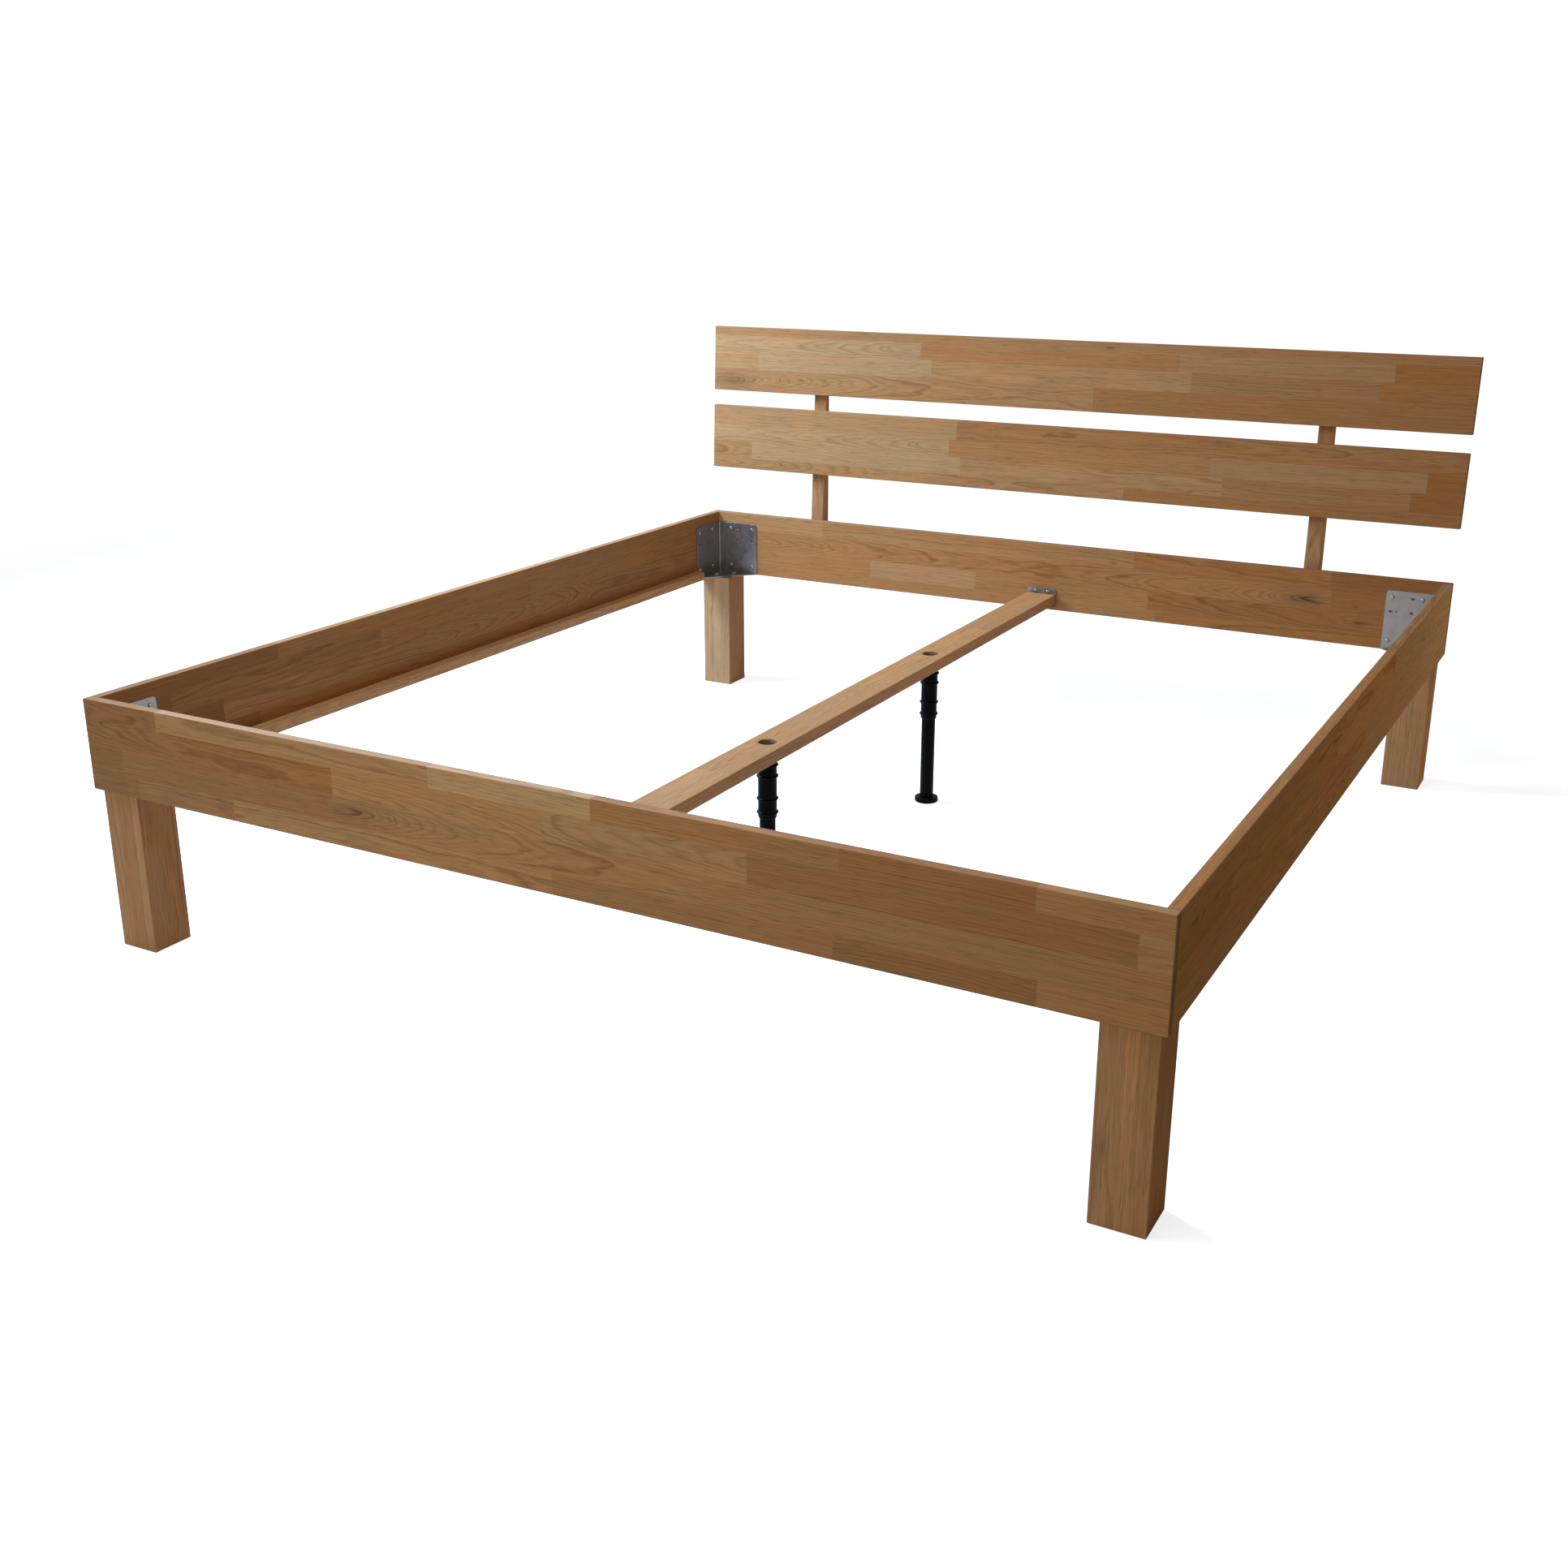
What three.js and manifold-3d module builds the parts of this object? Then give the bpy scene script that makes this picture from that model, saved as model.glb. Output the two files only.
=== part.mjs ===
// Bed frame for a double mattress: four rails on four square legs, a leaning two-board headboard,
// and a centre beam on two height-adjustable support legs. Millimetres, +Z up, +Y towards the head.
import * as THREE from 'three';
import { mergeVertices } from 'three/addons/utils/BufferGeometryUtils.js';
import Module from 'manifold-3d';

const wasm = await Module();
wasm.setup();

// ---------------------------------------------------------------- driving dimensions
// Mattress that the frame is made for, and the room left round it
const mattressWidth = 1800;
const mattressLength = 2000;
const mattressSideRoom = 16;
const mattressEndRoom = 8;

// Gap left between pieces that are made apart and then fastened together
const seatGap = 0.3;

// Rails
const railThickness = 18;
const railHeight = 160;
const railUnderside = 291;
const railEase = 1;

// Legs
const legWidth = 79;
const legInset = 10;
const legEase = 1.5;

// Slat ledges along the side rails
const ledgeWidth = 25;
const ledgeHeight = 20;
const ledgeEndGap = 3;
const ledgeEase = 1;

// Corner brackets, bent from sheet
const bracketSheet = 2;
const bracketReach = 115;
const bracketHeight = 134;
const bracketBendRadius = 4;
const bracketCornerRadius = 9;
const bracketHoleRadius = 2.5;
const bracketSlotLength = 8;
const bracketPilotRadius = 1.9;
const innerColumn = 38;
const middleColumn = 58;
const outerColumnInset = 13;
const pilotColumnInset = 25;
const lowerRow = 21;
const middleRow = 87;
const upperRowInset = 15;

// Pan-head screws that hold the brackets and beam hangers to the rails
const panHeadRadius = 4.8;
const panHeadHeight = 3.2;
const panHeadCrown = 1.2;
const panDriveRadius = 1.6;
const panDriveDepth = 1.6;
const panShankRadius = 2.2;
const panShankLength = 15;
const panTipLength = 4;

// Hex bolts that hold the legs under the brackets
const legBoltAcrossFlats = 13;
const legBoltHeadHeight = 5.5;
const legBoltFlangeRadius = 8.5;
const legBoltFlangeThickness = 1.5;
const legBoltRadius = 4;
const legBoltLength = 45;
const legBoltNear = 22;
const legBoltFar = 56;

// Headboard
const headboardLean = 2.9;
const headboardThickness = 18;
const headboardBoardHeight = 160;
const headboardLift = 118;
const headboardGap = 39;
const headboardBoards = ['lower', 'upper'];

// Headboard posts, wedges behind the head rail
const postWidth = 36;
const postTopDepth = 6.4;
const postSpacing = 1260;
const postRise = 10;
const postTopInset = 30;
const postRound = 3;
const postLeastFlat = 0.4;

// Machine screws through the posts into the head rail
const postBoltHeadRadius = 6;
const postBoltHeadHeight = 3.5;
const postBoltRadius = 3;
const postBoltGrip = 12;
const postBoltSpacing = 90;

// Wood screws through the posts into the headboard boards
const boardScrewHeadRadius = 4;
const boardScrewHeadHeight = 2.4;
const boardScrewShankRadius = 2;
const boardScrewGrip = 13;
const boardScrewTipLength = 3;
const boardScrewSpacing = 70;
const screwHeadSink = 0.4;

// Centre beam
const beamWidth = 72;
const beamThickness = 24;
const beamRise = 14.5;
const beamEase = 1.5;
const beamHoleRadius = 16.8;

// Beam hangers, angles bent from sheet
const hangerSheet = 2;
const hangerUpstand = 14;
const hangerShelfDepth = 40;
const hangerCornerRadius = 8;
const hangerScrewSpacing = 32;
const hangerScrewDrop = 9;

// Support legs under the centre beam
const supportSpacing = 700;
const sleeveRadius = 17;
const sleeveLength = 118.5;
const sleeveLipLength = 3.5;
const sleeveLipRadius = 15.6;
const sleeveRoof = 5;
const sleeveCollarThickness = 3;
const ribRadius = 19.7;
const ribHalfWidth = 2.4;
const ribCrestHalfWidth = 1.2;
const ribDrops = [17.5, 38.5, 81, 107];
const spigotWall = 2.5;
const spigotSetback = 12;
const tubeRadius = 14.5;
const tubeWall = 2.5;
const tubeEngagement = 45;
const padRadius = 25.2;
const padThickness = 10;
const padRound = 2;
const padPlugLength = 20;

// Facets round turned and drilled shapes
const holeSides = 8;
const screwSides = 8;
const turnedSides = 24;

// ---------------------------------------------------------------- worked-out sizes
const innerWidth = mattressWidth + 2 * mattressSideRoom;
const innerLength = mattressLength + 2 * mattressEndRoom;
const outerWidth = innerWidth + 2 * railThickness;
const outerLength = innerLength + 2 * railThickness;
const railTop = railUnderside + railHeight;
const railMiddle = railUnderside + railHeight / 2;
const leanAngle = THREE.MathUtils.degToRad(headboardLean);
const beamUnderside = railUnderside + beamRise;
const beamTop = beamUnderside + beamThickness;
const outerColumn = bracketReach - outerColumnInset;
const pilotColumn = bracketReach - pilotColumnInset;
const upperRow = bracketHeight - upperRowInset;
const screwSpots = [
  [outerColumn, upperRow],
  [innerColumn, upperRow],
  [outerColumn, lowerRow],
  [innerColumn, lowerRow],
];
const legBoltSpots = [
  [legBoltNear, legBoltFar],
  [legBoltFar, legBoltNear],
];
const boardStep = headboardBoardHeight + headboardGap;
const headboardTop = headboardLift + headboardBoards.length * boardStep - headboardGap;
const postSides = [['left', -1], ['right', 1]];
const postTop = headboardTop - postTopInset;
const postDepth = postTopDepth + postTop * Math.sin(leanAngle);
const postBase = railUnderside + postRise;
const postBoltHeights = [-1, 1].map((end) => (postBase + railTop) / 2 + end * postBoltSpacing / 2);

// ---------------------------------------------------------------- materials
const oak = { color: 0x9a7048, roughness: 0.55, metalness: 0 };
const paleOak = { color: 0xc09468, roughness: 0.6, metalness: 0 };
const galvanisedSteel = { color: 0x8f8f96, roughness: 0.45, metalness: 0.9 };
const platedSteel = { color: 0xc4c2bd, roughness: 0.3, metalness: 1 };
const blackPlastic = { color: 0x15130f, roughness: 0.45, metalness: 0 };

// ---------------------------------------------------------------- making solids
const bed = new THREE.Group();

/** Adds one named piece to a group, at a place in that group. */
function addPiece(group, name, geometry, finish, x = 0, y = 0, z = 0) {
  const mesh = new THREE.Mesh(geometry, new THREE.MeshStandardMaterial(finish));
  mesh.name = name;
  mesh.position.set(x, y, z);
  group.add(mesh);
  return mesh;
}

/** A copy of a geometry whose doubled points are merged, so that its skin is closed. */
function sealed(geometry) {
  const bare = geometry.clone();
  bare.deleteAttribute('normal');
  bare.deleteAttribute('uv');
  return mergeVertices(bare);
}

/** Turns a closed geometry into a solid that can be joined and cut. */
function solidOf(geometry) {
  const merged = sealed(geometry);
  return new wasm.Manifold(new wasm.Mesh({
    numProp: 3,
    vertProperties: new Float32Array(merged.attributes.position.array),
    triVerts: new Uint32Array(merged.index.array),
  }));
}

/** Turns a solid back into a geometry. */
function geometryOf(solid) {
  const { vertProperties, triVerts } = solid.getMesh();
  const geometry = new THREE.BufferGeometry();
  geometry.setAttribute('position', new THREE.BufferAttribute(new Float32Array(vertProperties), 3));
  geometry.setIndex(new THREE.BufferAttribute(new Uint32Array(triVerts), 1));
  geometry.computeVertexNormals();
  return geometry;
}

/** Joins closed geometries that overlap into one. */
function join(...geometries) {
  return geometryOf(geometries.map(solidOf).reduce((whole, piece) => whole.add(piece)));
}

/** Cuts closed geometries out of another. */
function cut(geometry, cutters) {
  const rest = cutters.map(solidOf).reduce((whole, cutter) => whole.subtract(cutter), solidOf(geometry));
  return geometryOf(rest);
}

/** A bar lying along X, Y or Z, centred on the origin, with a small chamfer on all its edges. */
function easedBar(sizeX, sizeY, sizeZ, ease, along) {
  const sizes = { x: [sizeZ, sizeY, sizeX], y: [sizeX, sizeZ, sizeY], z: [sizeX, sizeY, sizeZ] };
  const [width, height, length] = sizes[along];
  const [w, h] = [width / 2, height / 2];
  const section = new THREE.Shape([
    new THREE.Vector2(-w + ease, -h), new THREE.Vector2(w - ease, -h),
    new THREE.Vector2(w, -h + ease), new THREE.Vector2(w, h - ease),
    new THREE.Vector2(w - ease, h), new THREE.Vector2(-w + ease, h),
    new THREE.Vector2(-w, h - ease), new THREE.Vector2(-w, -h + ease),
  ]);
  const bar = new THREE.ExtrudeGeometry(section, {
    depth: length - 2 * ease, bevelEnabled: true, bevelSegments: 1,
    bevelThickness: ease, bevelSize: ease, bevelOffset: -ease,
  });
  bar.translate(0, 0, ease - length / 2);
  if (along === 'x') bar.rotateY(Math.PI / 2);
  if (along === 'y') bar.rotateX(-Math.PI / 2);
  return bar;
}

/** A flat plate: an outline drawn in X and Y, raised from z = 0 to its thickness. */
function plate(outline, thickness) {
  return new THREE.ExtrudeGeometry(outline, { depth: thickness, bevelEnabled: false, curveSegments: 4 });
}

/** A rectangle standing on y = 0, centred across it, with its two upper corners rounded. */
function roundedOutline(width, height, radius) {
  const half = width / 2;
  const outline = new THREE.Shape();
  outline.moveTo(-half, 0);
  outline.lineTo(half, 0);
  outline.lineTo(half, height - radius);
  outline.absarc(half - radius, height - radius, radius, 0, Math.PI / 2);
  outline.lineTo(radius - half, height);
  outline.absarc(radius - half, height - radius, radius, Math.PI / 2, Math.PI);
  outline.lineTo(-half, 0);
  return outline;
}

/** A shape turned about Z from a profile of [radius, height] points that runs up its outside. */
function turned(profile, sides) {
  const geometry = new THREE.LatheGeometry(profile.map(([r, h]) => new THREE.Vector2(r, h)), sides);
  return geometry.rotateX(Math.PI / 2);
}

/** A cylinder along Y, sealed at its seam before anything turns or moves it. */
function rod(radius, length, sides) {
  return sealed(new THREE.CylinderGeometry(radius, radius, length, sides));
}

/** A round cutter along X, Y or Z, centred on a point. */
function drill(radius, length, along, x, y, z) {
  const cutter = rod(radius, length, holeSides);
  if (along === 'x') cutter.rotateZ(Math.PI / 2);
  if (along === 'z') cutter.rotateX(Math.PI / 2);
  return cutter.translate(x, y, z);
}

/** A slot-shaped cutter whose long side lies level, centred on the origin, running along Z. */
function slotCutter(length, radius, depth) {
  const half = length / 2 - radius;
  const outline = new THREE.Shape();
  outline.absarc(half, 0, radius, -Math.PI / 2, Math.PI / 2);
  outline.absarc(-half, 0, radius, Math.PI / 2, 3 * Math.PI / 2);
  return plate(outline, depth).translate(0, 0, -depth / 2);
}

/** A screw with its head above z = 0 and its pointed shank below. */
function screw({ headRadius, headHeight, crown, driveRadius, driveDepth, shankRadius, length, tip }) {
  return turned([
    [0, -length], [shankRadius, tip - length], [shankRadius, 0], [headRadius, 0],
    [headRadius, headHeight - crown], [headRadius - crown, headHeight],
    [driveRadius, headHeight], [driveRadius, headHeight - driveDepth], [0, headHeight - driveDepth],
  ], screwSides);
}

const panScrew = screw({
  headRadius: panHeadRadius, headHeight: panHeadHeight, crown: panHeadCrown,
  driveRadius: panDriveRadius, driveDepth: panDriveDepth,
  shankRadius: panShankRadius, length: panShankLength, tip: panTipLength,
});

/** A pan-head screw turned so that its head looks along +Y. */
const panScrewFacingY = panScrew.clone().rotateX(-Math.PI / 2);

// ---------------------------------------------------------------- rails
const panHoleDepth = panShankLength + seatGap - bracketSheet;
const panHoleRadius = panShankRadius + seatGap;

/** The pilot holes in a rail's inner face for the screws of both its brackets. */
function bracketPilotHoles(along, halfSpan, innerFace) {
  const depth = 2 * panHoleDepth;
  return [-1, 1].flatMap((side) => screwSpots.map(([column, row]) => {
    const reach = side * (halfSpan - seatGap - column);
    const height = row - railHeight / 2;
    return along === 'x'
      ? drill(panHoleRadius, depth, 'y', reach, innerFace, height)
      : drill(panHoleRadius, depth, 'x', innerFace, reach, height);
  }));
}

/** The pilot holes in an end rail for the two screws of its beam hanger. */
function hangerPilotHoles(innerFace) {
  const height = beamTop + hangerUpstand - hangerScrewDrop - railMiddle;
  return [-1, 1].map((side) =>
    drill(panHoleRadius, 2 * panHoleDepth, 'y', side * hangerScrewSpacing / 2, innerFace, height));
}

/** The holes in the head rail's back face for the bolts of the posts. */
function postPilotHoles(backFace) {
  const depth = 2 * (postBoltGrip + seatGap);
  return postSides.flatMap(([, side]) => postBoltHeights.map((height) =>
    drill(postBoltRadius + seatGap, depth, 'y', side * postSpacing / 2, backFace, height - railMiddle)));
}

const endRailY = (innerLength + railThickness) / 2;
const endRail = easedBar(outerWidth, railThickness, railHeight, railEase, 'x');
for (const [name, side] of [['front_rail', -1], ['head_rail', 1]]) {
  const innerFace = -side * railThickness / 2;
  const holes = [...bracketPilotHoles('x', innerWidth / 2, innerFace), ...hangerPilotHoles(innerFace)];
  if (name === 'head_rail') holes.push(...postPilotHoles(-innerFace));
  addPiece(bed, name, cut(endRail, holes), oak, 0, side * endRailY, railMiddle);
}

const sideRailX = (innerWidth + railThickness) / 2;
const sideRailLength = innerLength - 2 * seatGap;
const sideRail = easedBar(railThickness, sideRailLength, railHeight, railEase, 'y');
for (const [name, side] of [['left_rail', -1], ['right_rail', 1]]) {
  const holes = bracketPilotHoles('y', innerLength / 2, -side * railThickness / 2);
  addPiece(bed, name, cut(sideRail, holes), oak, side * sideRailX, 0, railMiddle);
}

// ---------------------------------------------------------------- slat ledges
const ledgeLength = innerLength - 2 * (seatGap + bracketReach + ledgeEndGap);
const ledge = easedBar(ledgeWidth, ledgeLength, ledgeHeight, ledgeEase, 'y');
for (const [name, side] of [['left_slat_ledge', -1], ['right_slat_ledge', 1]]) {
  const x = side * (innerWidth / 2 - seatGap - ledgeWidth / 2);
  addPiece(bed, name, ledge.clone(), paleOak, x, 0, railUnderside + ledgeHeight / 2);
}

// ---------------------------------------------------------------- corners: bracket, leg and fasteners
/** What is cut away to round a convex corner at the origin, with a little to spare outside it. */
function cornerWaste(radius) {
  const spare = 1;
  const outline = new THREE.Shape();
  outline.moveTo(spare, spare);
  outline.lineTo(-radius, spare);
  outline.absarc(-radius, -radius, radius, Math.PI / 2, 0, true);
  outline.lineTo(spare, -radius);
  return outline;
}

/** One flange's holes, as cutters running along Z through a flange drawn in X and Y. */
function flangeCutters() {
  const through = 6 * bracketSheet;
  const slots = [[middleColumn, upperRow], [middleColumn, middleRow], [outerColumn, middleRow]];
  const holes = [[innerColumn, middleRow], [middleColumn, lowerRow], ...screwSpots];
  const corner = plate(cornerWaste(bracketCornerRadius), through);
  return [
    ...holes.map(([x, y]) => drill(bracketHoleRadius, through, 'z', x, y, 0)),
    ...slots.map(([x, y]) => slotCutter(bracketSlotLength, bracketHoleRadius, through).translate(x, y, 0)),
    drill(bracketPilotRadius, through, 'z', pilotColumn, middleRow, 0),
    corner.translate(bracketReach, bracketHeight, -through / 2),
  ];
}

/** A bracket whose two flanges run along +X and +Y from the corner of the rails, with a base between. */
function cornerBracket() {
  const [sheet, reach, bend] = [bracketSheet, bracketReach, bracketBendRadius];
  const section = new THREE.Shape();
  section.moveTo(bend, 0);
  section.lineTo(reach, 0);
  section.lineTo(reach, sheet);
  section.lineTo(bend, sheet);
  section.absarc(bend, bend, bend - sheet, -Math.PI / 2, -Math.PI, true);
  section.lineTo(sheet, reach);
  section.lineTo(0, reach);
  section.lineTo(0, bend);
  section.absarc(bend, bend, bend, Math.PI, 3 * Math.PI / 2);
  const base = new THREE.Shape([
    new THREE.Vector2(sheet / 2, sheet / 2), new THREE.Vector2(reach - sheet / 2, sheet / 2),
    new THREE.Vector2(sheet / 2, reach - sheet / 2),
  ]);
  const boltHoles = legBoltSpots.map(([x, y]) =>
    drill(legBoltRadius + seatGap, 4 * sheet, 'z', x, y, 0));
  const alongX = flangeCutters().map((cutter) => cutter.rotateX(Math.PI / 2));
  const alongY = flangeCutters().map((cutter) => cutter.rotateX(Math.PI / 2).rotateZ(Math.PI / 2));
  return cut(join(plate(section, bracketHeight), plate(base, sheet)), [...alongX, ...alongY, ...boltHoles]);
}

/** A hex-head bolt with a pressed flange, its head above z = 0 and its shank below. */
function hexBolt() {
  const shankTop = legBoltFlangeThickness / 2;
  const head = rod(legBoltAcrossFlats / Math.sqrt(3), legBoltHeadHeight, 6)
    .translate(0, legBoltHeadHeight / 2, 0);
  const flange = rod(legBoltFlangeRadius, legBoltFlangeThickness, screwSides)
    .translate(0, shankTop, 0);
  const shank = rod(legBoltRadius, legBoltLength + shankTop, screwSides)
    .translate(0, (shankTop - legBoltLength) / 2, 0);
  return join(head, flange, shank).rotateX(Math.PI / 2);
}

const bracketGeometry = cornerBracket();
const hexBoltGeometry = hexBolt();
const legStart = legInset - railThickness - seatGap;
const legCentre = legStart + legWidth / 2;
const legHeight = railUnderside - seatGap;
const legHoleLength = 2 * (legBoltLength + seatGap);
const legGeometry = cut(
  easedBar(legWidth, legWidth, legHeight, legEase, 'z'),
  legBoltSpots.map(([x, y]) =>
    drill(legBoltRadius + seatGap, legHoleLength, 'z', x - legCentre, y - legCentre, legHeight / 2)),
);

const corners = [
  ['front_left', -1, -1, 0],
  ['front_right', 1, -1, Math.PI / 2],
  ['rear_right', 1, 1, Math.PI],
  ['rear_left', -1, 1, -Math.PI / 2],
];
for (const [name, sideX, sideY, turn] of corners) {
  const corner = new THREE.Group();
  const [x0, y0] = [sideX * (innerWidth / 2 - seatGap), sideY * (innerLength / 2 - seatGap)];
  corner.position.set(x0, y0, railUnderside);
  corner.rotation.z = turn;
  bed.add(corner);
  addPiece(corner, `${name}_bracket`, bracketGeometry.clone(), galvanisedSteel);
  const legMiddle = -seatGap - legHeight / 2;
  addPiece(corner, `${name}_leg`, legGeometry.clone(), paleOak, legCentre, legCentre, legMiddle);
  for (const [index, [x, y]] of legBoltSpots.entries()) {
    const bolt = `${name}_leg_bolt_${index + 1}`;
    addPiece(corner, bolt, hexBoltGeometry.clone(), platedSteel, x, y, bracketSheet);
  }
  const [column, row] = screwSpots[0];
  const alongX = panScrewFacingY.clone();
  addPiece(corner, `${name}_bracket_screw_1`, alongX, platedSteel, column, bracketSheet, row);
  const alongY = panScrewFacingY.clone().rotateZ(-Math.PI / 2);
  addPiece(corner, `${name}_bracket_screw_2`, alongY, platedSteel, bracketSheet, column, row);
}

// ---------------------------------------------------------------- headboard
// Lean frame: origin on the head rail's back top edge, Z up the lean, Y square to the boards.
const headboard = new THREE.Group();
headboard.position.set(0, outerLength / 2 + seatGap, railTop);
headboard.rotation.x = -leanAngle;
bed.add(headboard);

/** The screws of one board, as heights up the lean. */
function boardScrewHeights(index) {
  const middle = headboardLift + index * boardStep + headboardBoardHeight / 2;
  return [middle - boardScrewSpacing / 2, middle + boardScrewSpacing / 2];
}

/** How far the post's back face stands behind its front face, square to the lean, at a height. */
function postDepthAt(height) {
  return postDepth / Math.cos(leanAngle) - height * Math.tan(leanAngle);
}

/** Where a board screw's head seats, behind the post's front face. */
function boardScrewSeat(height) {
  const slope = boardScrewHeadRadius * Math.tan(leanAngle);
  return postDepthAt(height) - slope - boardScrewHeadHeight - screwHeadSink;
}

/** A pilot hole in a board's back face. */
function boardHole(x, height) {
  const depth = 2 * (boardScrewGrip + seatGap);
  return drill(boardScrewShankRadius + seatGap, depth, 'y', x, headboardThickness / 2, height);
}

for (const [index, name] of headboardBoards.entries()) {
  const middle = headboardLift + index * boardStep + headboardBoardHeight / 2;
  const holes = postSides.flatMap(([, side]) =>
    boardScrewHeights(index).map((height) => boardHole(side * postSpacing / 2, height - middle)));
  const board = easedBar(outerWidth, headboardThickness, headboardBoardHeight, railEase, 'x');
  addPiece(headboard, `headboard_${name}_board`, cut(board, holes), oak,
    0, -seatGap - headboardThickness / 2, middle);
}

/** A post drawn from the side: upright against the rail, then its front leans back with the boards. */
function postBody() {
  const lean = new THREE.Vector2(Math.sin(leanAngle), Math.cos(leanAngle)).multiplyScalar(postTop);
  const side = new THREE.Shape([
    new THREE.Vector2(0, postBase - railTop),
    new THREE.Vector2(postDepth, postBase - railTop),
    new THREE.Vector2(postDepth, lean.y),
    new THREE.Vector2(lean.x, lean.y),
    new THREE.Vector2(0, 0),
  ]);
  const round = Math.min(postRound, (postTopDepth - postLeastFlat) / 2);
  const body = new THREE.ExtrudeGeometry(side, {
    depth: postWidth - 2 * round, bevelEnabled: true, bevelSegments: 2,
    bevelThickness: round, bevelSize: round, bevelOffset: -round,
  });
  body.translate(0, 0, round - postWidth / 2);
  return body.rotateX(Math.PI / 2).rotateZ(Math.PI / 2);
}

/** Cutters for a screw's shank and for the sunk seat of its head, running along Y. */
function sunkSeat(headRadius, shankRadius, seat, height) {
  const clear = postDepth;
  return [
    drill(shankRadius + seatGap, 2 * clear, 'y', 0, 0, height),
    drill(headRadius + seatGap, clear, 'y', 0, seat + clear / 2, height),
  ];
}

const postBoltSeat = postDepth - postBoltHeadHeight - screwHeadSink;
const leanedCutters = headboardBoards
  .flatMap((_, index) => boardScrewHeights(index))
  .flatMap((height) =>
    sunkSeat(boardScrewHeadRadius, boardScrewShankRadius, boardScrewSeat(height), height))
  .map((cutter) => cutter.rotateX(-leanAngle));
const levelCutters = postBoltHeights.flatMap((height) =>
  sunkSeat(postBoltHeadRadius, postBoltRadius, postBoltSeat, height - railTop));
const postGeometry = cut(postBody(), [...leanedCutters, ...levelCutters]);

const postBolt = screw({
  headRadius: postBoltHeadRadius, headHeight: postBoltHeadHeight, crown: postBoltHeadHeight / 2,
  driveRadius: postBoltRadius / 2, driveDepth: postBoltHeadHeight / 2,
  shankRadius: postBoltRadius, length: postBoltSeat + seatGap + postBoltGrip, tip: postBoltRadius / 2,
}).rotateX(-Math.PI / 2);

for (const [name, side] of postSides) {
  const x = side * postSpacing / 2;
  const postY = outerLength / 2 + seatGap;
  addPiece(bed, `${name}_post`, postGeometry.clone(), paleOak, x, postY, railTop);
  for (const [index, height] of postBoltHeights.entries()) {
    addPiece(bed, `${name}_post_bolt_${index + 1}`, postBolt.clone(), platedSteel,
      x, postY + postBoltSeat, height);
  }
  for (const [index, board] of headboardBoards.entries()) {
    for (const [end, height] of boardScrewHeights(index).entries()) {
      const seat = boardScrewSeat(height);
      const boardScrew = screw({
        headRadius: boardScrewHeadRadius, headHeight: boardScrewHeadHeight, crown: boardScrewHeadHeight / 2,
        driveRadius: boardScrewShankRadius / 2, driveDepth: boardScrewHeadHeight / 2,
        shankRadius: boardScrewShankRadius, length: seat + seatGap + boardScrewGrip,
        tip: boardScrewTipLength,
      });
      addPiece(headboard, `${name}_${board}_board_screw_${end + 1}`, boardScrew.rotateX(-Math.PI / 2),
        platedSteel, x, seat, height);
    }
  }
}

// ---------------------------------------------------------------- centre beam and its hangers
const beamLength = innerLength - 2 * (hangerSheet + 2 * seatGap);
const beamHoles = [-1, 1].map((end) =>
  rod(beamHoleRadius, 2 * beamThickness, turnedSides)
    .rotateX(Math.PI / 2).translate(0, end * supportSpacing / 2, 0));
const beamGeometry = cut(easedBar(beamWidth, beamLength, beamThickness, beamEase, 'y'), beamHoles);
addPiece(bed, 'centre_beam', beamGeometry, paleOak, 0, 0, beamUnderside + beamThickness / 2);

/** A hanger: a back plate against the rail behind y = 0, and a shelf under the beam's end. */
function beamHanger() {
  const height = hangerSheet + seatGap + beamThickness + hangerUpstand;
  const backOutline = roundedOutline(beamWidth, height, hangerCornerRadius);
  const shelfOutline = roundedOutline(beamWidth, hangerShelfDepth, hangerCornerRadius);
  const back = plate(backOutline, hangerSheet).rotateX(Math.PI / 2).translate(0, hangerSheet, 0);
  const shelf = plate(shelfOutline, hangerSheet);
  const holes = [-1, 1].map((side) => drill(panShankRadius + seatGap, 4 * hangerSheet, 'y',
    side * hangerScrewSpacing / 2, 0, height - hangerScrewDrop));
  return cut(join(back, shelf), holes);
}

const hangerGeometry = beamHanger();
const hangerBase = beamUnderside - seatGap - hangerSheet;
for (const [name, side, turn] of [['front', -1, 0], ['rear', 1, Math.PI]]) {
  const hanger = new THREE.Group();
  hanger.position.set(0, side * (innerLength / 2 - seatGap), 0);
  hanger.rotation.z = turn;
  bed.add(hanger);
  addPiece(hanger, `${name}_beam_hanger`, hangerGeometry.clone(), galvanisedSteel, 0, 0, hangerBase);
  for (const [index, x] of [-hangerScrewSpacing / 2, hangerScrewSpacing / 2].entries()) {
    addPiece(hanger, `${name}_hanger_screw_${index + 1}`, panScrewFacingY.clone(), platedSteel,
      x, hangerSheet, beamTop + hangerUpstand - hangerScrewDrop);
  }
}

// ---------------------------------------------------------------- support legs
/** The ring of points of one grip rib on the sleeve, lowest first. */
function ribPoints(drop) {
  return [
    [sleeveRadius, -drop - ribHalfWidth], [ribRadius, -drop - ribCrestHalfWidth],
    [ribRadius, -drop + ribCrestHalfWidth], [sleeveRadius, -drop + ribHalfWidth],
  ];
}

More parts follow.
